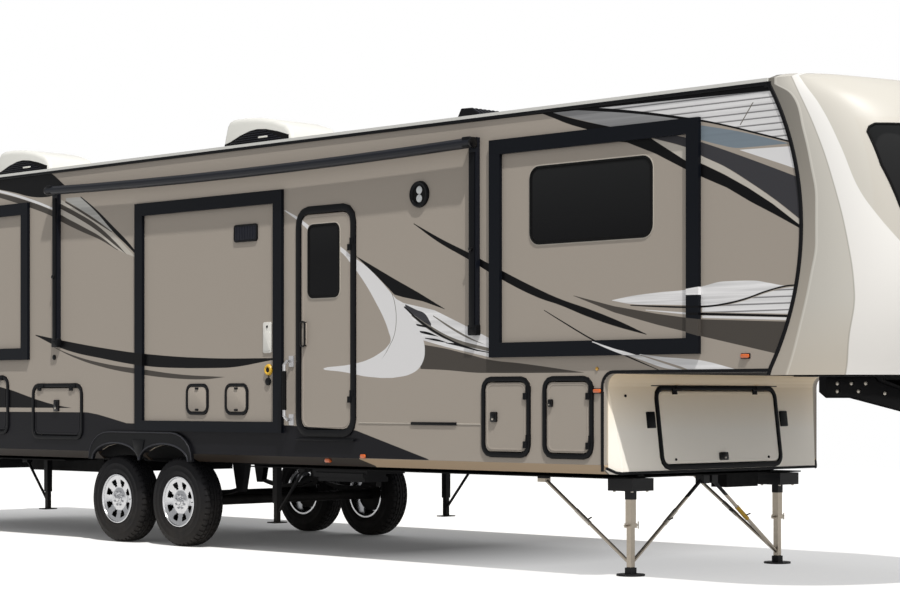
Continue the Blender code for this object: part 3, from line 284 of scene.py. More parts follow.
class Graph(Tree):
    """The node tree of one material, ending in a Principled shader."""

    def __init__(self, name: str) -> None:
        """Make an empty material.

        Args:
            name: The material's name.
        """
        self.material = bpy.data.materials.new(name)
        self.material.use_nodes = True
        super().__init__(self.material.node_tree)
        self.shader = self.tree.nodes["Principled BSDF"]
        self._vector: bpy.types.NodeSocket | None = None
        self._places: dict[str, Value] = {}

    def place(self, axis: str) -> Value:
        """Return the station, side or height of the shaded point.

        Args:
            axis: X, Y or Z.

        Returns:
            The coordinate in metres.
        """
        if self._vector is None:
            source = self.node("ShaderNodeTexCoord")
            mapping = self.node("ShaderNodeMapping", {"vector_type": "POINT"},
                                {"Vector": source.outputs["Object"], "Location": (-STATION_ZERO, 0.0, 0.0)})
            self._vector = mapping.outputs[0]
            parts = self.node("ShaderNodeSeparateXYZ", None, {0: self._vector})
            self._places = {name: Value(self, parts.outputs[name]) for name in "XYZ"}
        return self._places[axis]

    def curve(self, value: Value, points: tuple[Point, ...], straight: bool = False) -> Value:
        """Return a function of a value, drawn through points by a smooth or a straight line."""
        made = self.node("ShaderNodeFloatCurve", {"corners" if straight else "points": points},
                         {"Value": value})
        return Value(self, made.outputs[0])

    def noise(self, scale: float, detail: float = 2.0, stretch: Place = (1.0, 1.0, 1.0)) -> Value:
        """Return noise on the object's own coordinates.

        Args:
            scale: Cells per metre.
            detail: How many finer layers it has.
            stretch: Scale along each axis.

        Returns:
            The noise, about 0 to 1.
        """
        self.place("X")
        mapped = self.node("ShaderNodeMapping", None, {"Vector": self._vector, "Scale": stretch})
        made = self.node("ShaderNodeTexNoise", None,
                         {"Vector": mapped.outputs[0], "Scale": scale, "Detail": detail})
        return Value(self, made.outputs[0])

    def mix(self, mask: "Value | float", under: Paint, over: Paint) -> bpy.types.NodeSocket:
        """Return one colour laid over another where a mask is 1."""
        made = self.node("ShaderNodeMix", {"data_type": "RGBA", "blend_type": "MIX"},
                         {0: mask, 6: under, 7: over})
        return made.outputs[2]

    def shaded(self, colour: Paint, factor: Value) -> bpy.types.NodeSocket:
        """Return a colour made darker or paler.

        Args:
            colour: The colour.
            factor: Grey that it is multiplied by.

        Returns:
            The shaded colour socket.
        """
        grey = self.node("ShaderNodeCombineColor", None, {0: factor, 1: factor, 2: factor})
        made = self.node("ShaderNodeMix", {"data_type": "RGBA", "blend_type": "MULTIPLY"},
                         {0: 1.0, 6: colour, 7: grey.outputs[0]})
        return made.outputs[2]

    def bump(self, height: Value, distance: float, strength: float) -> None:
        """Raise the surface for the light only, a height of 1 by a distance in metres."""
        made = self.node("ShaderNodeBump", None,
                         {"Strength": strength, "Distance": distance, "Height": height})
        self.feed(self.shader, {"Normal": made.outputs[0]})

    def surface(self, **sockets: "Value | Paint | float") -> None:
        """Set the shader's sockets; an underscore in a name stands for a space."""
        self.feed(self.shader, {key.replace("_", " "): value for key, value in sockets.items()})


@dataclass(frozen=True)
class Stroke:
    """A shape between two edges, each a row of (station, height), or (height, station) if upright."""

    tint: Tint
    upper: tuple[Point, ...]
    lower: tuple[Point, ...]
    upright: bool = False
    streaks: float = 0.0
    on_frames: bool = False
    straight: bool = False
    ribs: float = 0.0


STROKES = (
    Stroke(Tint.BLACK, ((-3.1, 3.5), (-1.49, 3.41), (-1.2, 3.256)),
           ((-3.1, 3.41), (-2.28, 3.293), (-2.04, 3.25), (-1.74, 3.19), (-1.49, 3.174), (-1.2, 3.25))),
    Stroke(Tint.WHITE, ((-3.05, 3.41), (-2.28, 3.29), (-1.74, 3.167), (-1.43, 3.076), (-1.2, 2.995)),
           ((-3.05, 3.4), (-2.28, 3.266), (-1.74, 3.14), (-1.43, 3.054), (-1.2, 2.99))),
    Stroke(Tint.TAUPE,
           ((-3.05, 3.39), (-2.28, 3.261), (-1.74, 3.14), (-1.43, 3.049), (-1.24, 2.981), (-0.96, 2.877),
            (-0.66, 2.761), (-0.4, 2.631)),
           ((-3.05, 3.38), (-2.28, 3.215), (-1.74, 3.082), (-1.43, 2.992), (-1.24, 2.919), (-0.96, 2.824),
            (-0.66, 2.73), (-0.4, 2.623))),
    Stroke(Tint.PALE, ((-1.34, 3.16), (-1.24, 3.122), (-0.74, 2.93), (-0.11, 2.541)),
           ((-1.34, 3.03), (-1.24, 2.981), (-0.96, 2.877), (-0.66, 2.761), (-0.4, 2.631), (-0.11, 2.541))),
    Stroke(Tint.TAUPE,
           ((-1.34, 3.12), (-1.24, 3.083), (-1.03, 3.004), (-0.74, 2.882), (-0.45, 2.711), (-0.28, 2.591)),
           ((-1.34, 3.07), (-1.24, 3.034), (-1.03, 2.955), (-0.74, 2.83), (-0.45, 2.676), (-0.28, 2.587))),
    Stroke(Tint.SILVER, ((-1.2, 3.146), (-0.97, 3.14), (-0.74, 3.004), (-0.49, 2.834)),
           ((-1.2, 3.121), (-0.97, 3.026), (-0.74, 2.925), (-0.49, 2.799)), streaks=0.35),
    Stroke(Tint.TAUPE, ((-1.21, 3.121), (-0.97, 3.026), (-0.74, 2.925), (-0.49, 2.799)),
           ((-1.21, 3.103), (-0.97, 3.0), (-0.74, 2.899), (-0.49, 2.79))),
    Stroke(Tint.BLACK, ((-0.97, 3.149), (-0.74, 3.021), (-0.45, 2.831), (-0.26, 2.702), (-0.09, 2.566)),
           ((-0.97, 3.136), (-0.74, 2.995), (-0.45, 2.78), (-0.26, 2.659), (-0.09, 2.544))),
    Stroke(Tint.TAUPE,
           ((-1.45, 1.79), (-1.08, 1.693), (-0.59, 1.61), (0.0, 1.551), (0.48, 1.506), (1.12, 1.478)),
           ((-1.45, 1.788), (-1.08, 1.673), (-0.59, 1.572), (0.0, 1.501), (0.48, 1.466), (0.81, 1.458),
            (1.12, 1.476))),
    Stroke(Tint.BLACK,
           ((-1.69, 1.895), (-1.24, 1.831), (-0.59, 1.749), (0.0, 1.691), (0.92, 1.641), (1.8, 1.63)),
           ((-1.69, 1.885), (-1.24, 1.752), (-0.59, 1.65), (0.0, 1.582), (0.63, 1.556), (1.06, 1.554),
            (1.8, 1.618)), on_frames=True),
    Stroke(Tint.BLACK,
           ((-4.6, 1.8), (-3.4, 1.64), (-2.8, 1.52), (-2.28, 1.409), (-2.1, 1.378), (-1.72, 1.298),
            (-1.38, 1.239), (-1.1, 1.209)),
           ((-4.6, 1.209), (-1.1, 1.207))),
    Stroke(Tint.BLACK, ((2.7, 2.46), (2.776, 2.426), (3.186, 2.242), (3.488, 2.112), (3.77, 1.981)),
           ((2.7, 2.455), (2.776, 2.418), (3.01, 2.257), (3.208, 2.107), (3.3, 2.085), (3.53, 2.044),
            (3.77, 1.976)), straight=True),
    Stroke(Tint.WHITE, ((3.19, 2.092), (3.31, 2.04), (3.657, 1.974), (4.029, 1.833), (4.26, 1.742)),
           ((3.19, 2.088), (3.36, 1.95), (3.52, 1.745), (3.77, 1.69), (4.26, 1.6)), streaks=0.3,
           straight=True),
    Stroke(Tint.CHARCOAL, ((3.33, 2.03), (3.45, 1.985), (3.55, 1.95), (3.62, 1.87)),
           ((3.33, 2.0), (3.45, 1.93), (3.55, 1.88), (3.62, 1.85)), streaks=0.5),
    Stroke(Tint.STONE, ((3.4, 1.955), (3.6, 1.86), (3.85, 1.76), (4.27, 1.668)),
           ((3.4, 1.935), (3.6, 1.82), (3.85, 1.725), (4.27, 1.64)), streaks=0.3),
    Stroke(Tint.BLACK, ((3.316, 2.018), (3.488, 1.908), (3.741, 1.782), (4.05, 1.68), (4.271, 1.638)),
           ((3.316, 2.004), (3.488, 1.886), (3.741, 1.764), (4.05, 1.666), (4.271, 1.63))),
    Stroke(Tint.STONE, ((3.64, 1.936), (3.85, 1.838), (4.05, 1.752), (4.2, 1.7)),
           ((3.64, 1.926), (3.85, 1.818), (4.05, 1.738), (4.2, 1.698))),
    Stroke(Tint.BLACK, ((3.43, 1.876), (3.5, 1.868), (3.64, 1.836)),
           ((3.43, 1.866), (3.5, 1.85), (3.64, 1.832))),
    Stroke(Tint.BLACK, ((3.46, 1.822), (3.58, 1.808), (3.7, 1.772)),
           ((3.46, 1.812), (3.58, 1.786), (3.7, 1.768))),
    Stroke(Tint.BLACK, ((3.55, 1.764), (3.68, 1.752), (3.8, 1.722)),
           ((3.55, 1.756), (3.68, 1.734), (3.8, 1.718))),
    Stroke(Tint.BLACK, ((3.78, 1.722), (3.92, 1.712), (4.12, 1.656)),
           ((3.78, 1.716), (3.92, 1.69), (4.12, 1.65))),
    Stroke(Tint.TAUPE,
           ((3.5, 1.715), (3.77, 1.678), (4.02, 1.63), (4.26, 1.584), (4.57, 1.555), (5.19, 1.483)),
           ((3.5, 1.522), (3.77, 1.511), (4.14, 1.486), (5.19, 1.479))),
    Stroke(Tint.BLACK,
           ((3.424, 2.657), (3.741, 2.514), (4.029, 2.398), (4.37, 2.251), (4.74, 2.1), (4.96, 2.02),
            (5.233, 1.94), (5.501, 1.853), (5.78, 1.747)),
           ((3.424, 2.649), (3.699, 2.494), (4.009, 2.353), (4.37, 2.182), (4.74, 2.035), (4.96, 1.972),
            (5.233, 1.88), (5.501, 1.804), (5.78, 1.74))),
    Stroke(Tint.BLACK, ((4.8, 1.946), (4.96, 1.87), (5.316, 1.706), (5.6, 1.6), (5.91, 1.489)),
           ((4.8, 1.938), (4.96, 1.858), (5.316, 1.692), (5.6, 1.586), (5.91, 1.483)), on_frames=True),
    Stroke(Tint.WHITE, ((5.296, 1.706), (5.501, 1.65), (5.642, 1.618), (5.86, 1.56), (6.1, 1.495)),
           ((5.296, 1.698), (5.501, 1.628), (5.742, 1.56), (5.97, 1.5), (6.1, 1.49)), on_frames=True,
           streaks=0.35),
    Stroke(Tint.WHITE, ((5.74, 1.606), (5.919, 1.585), (6.094, 1.572), (6.27, 1.556), (6.57, 1.492)),
           ((5.74, 1.596), (5.86, 1.57), (6.08, 1.516), (6.21, 1.483), (6.57, 1.486)), on_frames=True,
           streaks=0.35),
    Stroke(Tint.CHARCOAL,
           ((5.6, 3.2), (5.93, 3.143), (6.14, 3.094), (6.28, 3.05), (6.656, 2.917), (7.1, 2.75)),
           ((5.6, 3.19), (5.84, 3.114), (6.14, 3.024), (6.28, 2.954), (6.472, 2.869), (6.729, 2.722),
            (6.909, 2.609), (7.1, 2.474))),
    Stroke(Tint.PALE,
           ((5.84, 3.114), (6.142, 3.028), (6.275, 2.956), (6.472, 2.871), (6.729, 2.722), (6.909, 2.607),
            (7.1, 2.472)),
           ((5.84, 3.094), (6.142, 2.927), (6.275, 2.905), (6.472, 2.816), (6.675, 2.711), (6.873, 2.594),
            (7.1, 2.437)), straight=True),
    Stroke(Tint.BLACK,
           ((5.5, 3.16), (5.8, 3.13), (5.86, 3.094), (6.142, 2.93), (6.275, 2.905), (6.472, 2.816),
            (6.675, 2.711), (6.873, 2.594), (7.1, 2.437)),
           ((5.5, 3.118), (5.6, 3.104), (5.86, 3.005), (6.142, 2.87), (6.275, 2.812), (6.491, 2.724),
            (6.693, 2.615), (6.891, 2.52), (7.1, 2.414)), straight=True),
    Stroke(Tint.BLUE_GREY, ((6.24, 3.175), (6.601, 3.097), (7.0, 2.988)),
           ((6.24, 3.075), (6.4, 3.028), (6.583, 2.986), (7.0, 2.983)), streaks=0.12),
    Stroke(Tint.WHITE, ((6.6, 2.975), (6.998, 2.966), (7.1, 2.96)),
           ((6.6, 2.971), (6.998, 2.835), (7.051, 2.815), (7.1, 2.8)), straight=True),
    Stroke(Tint.HAZE, ((4.82, 3.4), (5.2, 3.384), (5.74, 3.298), (6.134, 3.222), (6.27, 3.2)),
           ((4.82, 3.398), (5.01, 3.343), (5.2, 3.291), (5.47, 3.226), (6.27, 3.18)), streaks=0.25),
    Stroke(Tint.BLACK,
           ((4.74, 3.402), (4.82, 3.398), (5.01, 3.343), (5.2, 3.291), (5.47, 3.224), (5.7, 3.165)),
           ((4.74, 3.398), (4.9, 3.338), (5.03, 3.288), (5.23, 3.227), (5.47, 3.16), (5.7, 3.105))),
    Stroke(Tint.WHITE, ((5.05, 3.43), (7.1, 3.43)),
           ((5.05, 3.405), (5.35, 3.365), (5.74, 3.31), (6.27, 3.2), (6.52, 3.137), (6.78, 3.063),
            (7.05, 2.985)), streaks=0.2, ribs=0.0445),
    Stroke(Tint.STONE, ((3.141, 6.608), (3.285, 6.718)),
           ((3.141, 6.596), (3.285, 6.706)), upright=True, straight=True),
    Stroke(Tint.BLACK,
           ((5.0, 3.41), (5.2, 3.392), (5.74, 3.312), (6.134, 3.236), (6.27, 3.208), (6.52, 3.145),
            (6.78, 3.071), (7.05, 2.993)),
           ((5.0, 3.39), (5.2, 3.366), (5.74, 3.29), (6.134, 3.217), (6.27, 3.192), (6.52, 3.13),
            (6.78, 3.056), (7.05, 2.98))),
    Stroke(Tint.BLACK, ((-4.6, 3.42), (7.3, 3.42)),
           ((-4.6, 3.386), (3.5, 3.386), (4.82, 3.38), (5.96, 3.364), (6.8, 3.35), (7.3, 3.345)),
           straight=True),
    Stroke(Tint.TAUPE,
           ((5.09, 2.041), (5.48, 1.951), (5.88, 1.886), (6.142, 1.852), (6.275, 1.838), (7.1, 1.8)),
           ((5.09, 2.036), (5.48, 1.905), (5.88, 1.807), (6.142, 1.752), (6.275, 1.719), (6.882, 1.596),
            (7.1, 1.55)), on_frames=True, straight=True),
    Stroke(Tint.WHITE,
           ((5.46, 1.995), (5.642, 2.018), (5.88, 2.035), (6.142, 2.046), (6.266, 2.062), (6.472, 2.091),
            (6.729, 2.086), (6.837, 2.068), (6.98, 2.044), (7.1, 2.042)),
           ((5.46, 1.99), (5.642, 1.96), (5.88, 1.948), (6.132, 1.938), (6.266, 1.93), (6.472, 1.94),
            (6.656, 1.97), (6.819, 2.012), (6.998, 2.04), (7.1, 2.04)), streaks=0.5),
    Stroke(Tint.WHITE, ((6.14, 2.048), (6.275, 2.062)),
           ((6.14, 2.006), (6.275, 2.004)), on_frames=True, streaks=0.3, straight=True),
    Stroke(Tint.WHITE,
           ((6.275, 1.918), (6.472, 1.928), (6.656, 1.958), (6.819, 2.0), (6.998, 2.03), (7.1, 2.032)),
           ((6.275, 1.886), (7.1, 1.85)), streaks=0.25, ribs=0.0445),
    Stroke(Tint.BLACK,
           ((5.63, 1.957), (5.88, 1.944), (6.132, 1.932), (6.266, 1.931), (6.472, 1.944), (6.656, 1.975),
            (6.819, 2.017), (6.998, 2.048), (7.1, 2.05)),
           ((5.63, 1.948), (5.88, 1.93), (6.132, 1.917), (6.266, 1.916), (6.472, 1.929), (6.656, 1.961),
            (6.819, 2.004), (6.998, 2.035), (7.1, 2.038)), on_frames=True),
    Stroke(Tint.WHITE, ((5.77, 1.918), (6.142, 1.888)),
           ((5.77, 1.912), (6.142, 1.872))),
    Stroke(Tint.BLACK, ((6.14, 1.888), (6.275, 1.884), (6.989, 1.85), (7.1, 1.846)),
           ((6.14, 1.868), (6.275, 1.864), (6.989, 1.832), (7.1, 1.828)), on_frames=True, straight=True),
    Stroke(Tint.WHITE, ((6.275, 1.864), (7.1, 1.828)),
           ((6.275, 1.846), (7.1, 1.808)), straight=True),
    Stroke(Tint.FOOT, ((2.6, 0.818), (7.3, 0.818)),
           ((2.6, 0.5), (7.3, 0.5)), straight=True),
    Stroke(Tint.BAND,
           ((-4.6, 1.17), (-0.87, 1.17), (-0.7, 1.151), (-0.52, 1.12), (-0.27, 1.075), (0.03, 1.072),
            (1.75, 1.086), (1.871, 1.076), (2.752, 1.043), (3.585, 0.828), (3.6, 0.82)),
           ((-4.6, 0.5), (2.74, 0.5), (2.78, 0.818), (3.6, 0.818)), straight=True),
    # Painted shade and ground reflection on the skirt's lower lip.
    Stroke(Tint.SKIRT, ((-4.6, 0.818), (2.78, 0.818), (2.9, 0.76)),
           ((-4.6, 0.5), (2.7, 0.5), (2.9, 0.75)), straight=True),
    Stroke(Tint.WHITE,
           ((1.455, 3.12), (1.461, 3.257), (1.483, 3.386), (1.527, 3.483), (1.593, 3.536), (1.666, 3.551),
            (1.741, 3.536), (1.83, 3.483), (1.921, 3.408), (2.014, 3.3), (2.123, 3.17), (2.233, 3.038),
            (2.345, 2.882), (2.411, 2.759), (2.519, 2.577), (2.686, 2.235), (2.746, 2.13), (2.781, 2.06),
            (2.848, 1.9)),
           ((1.455, 3.1), (1.467, 2.882), (1.496, 2.702), (1.516, 2.542), (1.534, 2.372), (1.539, 2.372),
            (1.551, 2.542), (1.572, 2.747), (1.603, 2.905), (1.652, 3.038), (1.703, 3.126), (1.755, 3.165),
            (1.815, 3.143), (1.914, 3.093), (2.053, 2.994), (2.193, 2.882), (2.32, 2.759), (2.456, 2.611),
            (2.64, 2.235), (2.722, 2.11), (2.848, 1.88)), upright=True),
    Stroke(Tint.STONE,
           ((1.6, 3.06), (1.66, 3.12), (1.717, 3.163), (1.762, 3.196), (1.836, 3.224), (1.926, 3.233),
            (2.016, 3.222), (2.092, 3.196), (2.18, 3.13)),
           ((1.6, 3.058), (1.66, 3.113), (1.717, 3.155), (1.762, 3.188), (1.836, 3.216), (1.926, 3.225),
            (2.016, 3.214), (2.092, 3.188), (2.18, 3.128)), upright=True),
)


class Body(Enum):
    """Moving bodies that fittings ride on."""

    TRAILER = "trailer"
    LIVING_ROOM = "living_room"
    BEDROOM_ROOM = "bedroom_room"
    DINING_ROOM = "dining_room"
    ENTRY_DOOR = "entry_door_leaf"
    HOLD_DOOR_RIGHT = "hold_door_right_leaf"
    UTILITY_DOOR = "utility_door_right_leaf"
    HATCH = "hatch_right_leaf"
    HATCH_REAR = "hatch_right_rear_leaf"
    HOLD_DOOR_LEFT = "hold_door_left_leaf"
    HOLD_DOOR_FRONT = "hold_door_front_leaf"
    WHEEL_RIGHT_FRONT = "wheel_right_front"
    WHEEL_RIGHT_REAR = "wheel_right_rear"
    WHEEL_LEFT_FRONT = "wheel_left_front"
    WHEEL_LEFT_REAR = "wheel_left_rear"


class Wall(Enum):
    """Surfaces that fittings are drawn on, as along, height and outwards."""

    PLAIN = "plain"
    RIGHT = "right"
    LEFT = "left"
    FRONT = "front"
    REAR = "rear"

    def frame(self) -> Matrix:
        """Return the matrix from the surface's own coordinates to the scene's.

        Returns:
            The matrix.
        """
        shift = STATION_ZERO
        if self is Wall.RIGHT:
            return Matrix(((1, 0, 0, shift), (0, 0, -1, -HALF_WIDTH), (0, 1, 0, 0), (0, 0, 0, 1)))
        if self is Wall.LEFT:
            return Matrix(((1, 0, 0, shift), (0, 0, 1, HALF_WIDTH), (0, 1, 0, 0), (0, 0, 0, 1)))
        if self is Wall.REAR:
            return Matrix(((0, 0, -1, TAIL_X + shift), (1, 0, 0, 0), (0, 1, 0, 0), (0, 0, 0, 1)))
        if self is Wall.FRONT:
            sine, cosine = math.sin(FRONT_LEAN), math.cos(FRONT_LEAN)
            return Matrix(((0, -sine, cosine, FRONT_X + FRONT_TOP_Z * sine + shift), (1, 0, 0, 0),
                           (0, cosine, sine, FRONT_TOP_Z * (1 - cosine)), (0, 0, 0, 1)))
        return Matrix.Translation((shift, 0.0, 0.0))


# Painted sky reflection: glass is given a paler colour higher up.
GLASS_SHEEN_SPAN = (2.45, 0.65)            # height past which glass pales, and over which distance
GLASS_SHEEN_TINT = linear(30, 31, 32)
DUST_SPAN = (0.55, 0.5)             # height below which dust lies, and over which distance
DUST_TINT = linear(150, 140, 125)


@dataclass(frozen=True)
class Finish:
    """A plain finish: one colour with its tone, its gloss and its grain."""

    slot: str
    tint: Colour
    rough: float
    metal: float = 0.0
    coat: float = 0.0
    specular: float = 0.5
    mottle: float = 0.06
    patch: float = 5.0
    grain: float = 320.0
    depth: float = 0.0003
    stretch: Place = (1.0, 1.0, 1.0)
    dust: float = 0.0
    painted_sky_sheen: bool = False

    def material(self, name: str) -> bpy.types.Material:
        """Build the material.

        Args:
            name: The material's name.

        Returns:
            The material.
        """
        graph = Graph(name)
        tone = (1 - self.mottle) + 2 * self.mottle * graph.noise(self.patch, 4.0, self.stretch)
        colour = graph.shaded(self.tint, tone)
        # Painted sky reflection: glass turns paler higher up.
        if self.painted_sky_sheen:
            colour = graph.mix(graph.place("Z").above(*GLASS_SHEEN_SPAN), colour, GLASS_SHEEN_TINT)
        if self.dust:
            film = self.dust * graph.place("Z").below(*DUST_SPAN) * graph.noise(11.0, 4.0)
            colour = graph.mix(film, colour, DUST_TINT)
        rough = self.rough * (0.82 + 0.36 * graph.noise(self.patch * 4, 3.0, self.stretch))
        graph.surface(Base_Color=colour, Roughness=rough, Metallic=self.metal, Coat_Weight=self.coat,
                      Coat_Roughness=0.08, Specular_IOR_Level=self.specular)
        graph.bump(graph.noise(self.grain, 2.0, self.stretch), self.depth, 0.35)
        return graph.material


class Stock(Enum):
    """Finishes that the fittings are made of."""

    BLACK_TRIM = Finish("black_trim", linear(12, 13, 16), 0.42, specular=0.12)
    BLACK_GLOSS = Finish("black_trim", linear(11, 11, 13), 0.24, specular=0.25)
    AWNING = Finish("black_trim", linear(17, 20, 28), 0.34, specular=0.22, patch=2.0, grain=90.0,
                    stretch=(0.2, 1.0, 1.0))
    BLACK_STEEL = Finish("black_steel", linear(19, 19, 21), 0.55, metal=0.15, specular=0.15, mottle=0.15,
                         patch=9.0, grain=140.0, depth=0.0005, dust=0.15)
    BELLY = Finish("underbelly_sheet", linear(12, 12, 13), 0.7, specular=0.1, mottle=0.12, grain=60.0,
                   depth=0.0008)
    RUBBER = Finish("rubber", linear(19, 19, 22), 0.62, specular=0.16, mottle=0.14, patch=14.0,
                    grain=420.0, dust=0.1)
    GASKET = Finish("rubber", linear(9, 9, 10), 0.6, specular=0.12)
    ALLOY = Finish("alloy", linear(196, 197, 200), 0.19, metal=1.0, mottle=0.16, patch=16.0)
    LADDER = Finish("alloy", linear(196, 196, 198), 0.3, metal=0.9, mottle=0.06, patch=40.0)
    ZINC = Finish("zinc_steel", linear(186, 180, 170), 0.36, metal=0.85, mottle=0.12, patch=24.0,
                  grain=200.0, dust=0.2)
    MEMBRANE = Finish("roof_membrane", linear(203, 203, 200), 0.75, mottle=0.03, patch=1.4, grain=40.0,
                      depth=0.001)
    SHROUD = Finish("white_shroud", linear(212, 212, 208), 0.42, mottle=0.02, patch=3.0, grain=220.0)
    GRILLE = Finish("black_trim", linear(27, 29, 38), 0.45, specular=0.2)
    # Painted highlight: a grey lighter than the black fender, for the light along its raised edges.
    EDGE = Finish("black_trim", linear(40, 41, 47), 0.4, specular=0.2)
    GLASS = Finish("dark_glass", linear(10, 10, 12), 0.06, specular=0.16, mottle=0.04, patch=1.0,
                   depth=0.0, painted_sky_sheen=True)
    WHITE_PLASTIC = Finish("white_shroud", linear(214, 213, 208), 0.35, mottle=0.03)
    PALE_BEAD = Finish("greige_panel", linear(178, 172, 162), 0.4, mottle=0.03)
    LEAF_BEAD = Finish("greige_panel", linear(160, 152, 143), 0.4, mottle=0.03, specular=0.1)
    BRASS = Finish("zinc_steel", linear(190, 150, 78), 0.28, metal=0.9)
    YELLOW = Finish("black_trim", linear(214, 170, 44), 0.4, mottle=0.05)
    ORANGE_LENS = Finish("black_trim", linear(206, 98, 40), 0.15, coat=0.5, grain=180.0, depth=0.0006)
    RED_LENS = Finish("black_trim", linear(150, 20, 20), 0.15, coat=0.5, grain=180.0, depth=0.0006)
    CLEAR_LENS = Finish("white_shroud", linear(200, 204, 206), 0.12, coat=0.5, grain=180.0, depth=0.0006)

    def dressed(self) -> bpy.types.Material:
        """Return the finish's material, made on first use.

        Returns:
            The material.
        """
        name = "finish_" + self.name.lower()
        found = bpy.data.materials.get(name)
        return found if found else self.value.material(name)


class Shape:
    """A mesh in the making, drawn on one of the trailer's surfaces."""

    def __init__(self, wall: Wall = Wall.PLAIN) -> None:
        """Start an empty mesh.

        Args:
            wall: The surface whose coordinates are used.
        """
        self.wall = wall
        self.work = bmesh.new()

    def _added(self, before: set) -> list[bmesh.types.BMVert]:
        """Return the vertices made since a set was taken."""
        return [vert for vert in self.work.verts if vert not in before]

    def soften(self, edges: list, offset: float, segments: int) -> None:
        """Round some edges, from an offset away and in some segments."""
        if edges and offset > 0:
            bmesh.ops.bevel(self.work, geom=edges, offset=offset, offset_type="OFFSET", segments=segments,
                            profile=0.5, affect="EDGES", clamp_overlap=True, material=-1)

    def rim(self, before: set, level: float) -> list[bmesh.types.BMEdge]:
        """Return the edges of the new geometry where a level face meets the sides.

        Args:
            before: Vertices that were there already.
            level: How far out the face lies.

        Returns:
            The edges.
        """
        self.work.normal_update()
        found = []
        for edge in self.work.edges:
            if edge.verts[0] in before or edge.verts[1] in before:
                continue
            if max(abs(vert.co.z - level) for vert in edge.verts) > 1e-6:
                continue
            if any(abs(face.normal.z) < 0.5 for face in edge.link_faces):
                found.append(edge)
        return found

    def plate(self, a: Point, b: Point, out: Point, radius: float = 0.0, edge: float = 0.0,
              steps: int = 4) -> "Shape":
        """Add a plate with round corners and a softened front edge.

        Args:
            a: Both ends along the surface.
            b: Both ends in height.
            out: How far its back and front stand out.
            radius: Corner radius.
            edge: Radius of the front edge.
            steps: Segments in a corner.

        Returns:
            The shape itself.
        """
        before = set(self.work.verts)
        made = bmesh.ops.create_cube(self.work, size=1.0)["verts"]
        bmesh.ops.scale(self.work, vec=(a[1] - a[0], b[1] - b[0], out[1] - out[0]), verts=made)
        bmesh.ops.translate(self.work, vec=(sum(a) / 2, sum(b) / 2, sum(out) / 2), verts=made)
        if radius:
            upright = [e for e in self.work.edges if e.verts[0] not in before and
                       (e.verts[0].co - e.verts[1].co).xy.length < 1e-7]
            self.soften(upright, radius, steps)
        if edge:
            self.soften(self.rim(before, out[1]), edge, 2)
        return self

    def pad(self, middle: Point, half: Point, out: Point, radius: float = 0.0,
            edge: float = 0.0) -> "Shape":
        """Add a plate given by its middle and its half length and height; the rest as for a plate."""
        a, b = ((at - reach, at + reach) for at, reach in zip(middle, half))
        return self.plate(a, b, out, radius, edge)

    def ring(self, a: Point, b: Point, out: Point, wide: float, radius: float, edge: float = 0.0,
             steps: int = 5) -> "Shape":
        """Add a flat frame round an opening.

        Args:
            a: Both ends of the opening along the surface.
            b: Both ends of the opening in height.
            out: How far its back and front stand out.
            wide: Width of the frame.
            radius: Corner radius of the opening.
            edge: Radius of the front edges.
            steps: Segments in a corner.

        Returns:
            The shape itself.
        """
        before = set(self.work.verts)
        self.plate((a[0] - wide, a[1] + wide), (b[0] - wide, b[1] + wide), out, radius + wide, steps=steps)
        caps = []
        for face in self.work.faces:
            heights = [vert.co.z for vert in face.verts]
            level = max(heights) - min(heights) < 1e-7 and len(face.verts) > 4
            if level and not any(vert in before for vert in face.verts):
                caps.append(face)
        for cap in caps:
            bmesh.ops.inset_region(self.work, faces=[cap], thickness=wide, use_even_offset=True,
                                   use_boundary=True)
        loops = [side for cap in caps for side in cap.edges]
        bmesh.ops.delete(self.work, geom=caps, context="FACES_ONLY")
        bmesh.ops.bridge_loops(self.work, edges=loops)
        if edge:
            self.soften(self.rim(before, out[1]), edge, 2)
        return self

    def disc(self, centre: Point, radius: float, out: Point, edge: float = 0.0,
             sides: int = 32) -> "Shape":
        """Add a round plate.

        Args:
            centre: Its middle on the surface.
            radius: Its radius.
            out: How far its back and front stand out.
            edge: Radius of the front edge.
            sides: Segments round it.

        Returns:
            The shape itself.
        """
        before = set(self.work.verts)
        made = bmesh.ops.create_cone(self.work, cap_ends=True, segments=sides, radius1=radius,
                                     radius2=radius, depth=out[1] - out[0])["verts"]
        bmesh.ops.translate(self.work, vec=(centre[0], centre[1], sum(out) / 2), verts=made)
        if edge:
            self.soften(self.rim(before, out[1]), edge, 2)
        return self

    def turned(self, profile: tuple[Point, ...], steps: int = 48, centre: Point = (0.0, 0.0)) -> "Shape":
        """Add a profile of radius and height, turned about the outward axis.

        Args:
            profile: Points of the profile; a closed one repeats its first point.
            steps: Segments round it.
            centre: Where the axis stands on the surface.

        Returns:
            The shape itself.
        """
        before = set(self.work.verts)
        closed = profile[0] == profile[-1]
        rows = profile[:-1] if closed else profile
        verts = [self.work.verts.new((radius, 0.0, out)) for radius, out in rows]
        pairs = list(zip(verts, verts[1:])) + ([(verts[-1], verts[0])] if closed else [])
        edges = [self.work.edges.new(pair) for pair in pairs]
        bmesh.ops.spin(self.work, geom=verts + edges, cent=(0, 0, 0), axis=(0, 0, 1), dvec=(0, 0, 0),
                       angle=math.tau, steps=steps, use_merge=True, use_duplicate=False)
        bmesh.ops.remove_doubles(self.work, verts=self._added(before), dist=1e-5)
        bmesh.ops.translate(self.work, vec=(*centre, 0.0), verts=self._added(before))
        return self

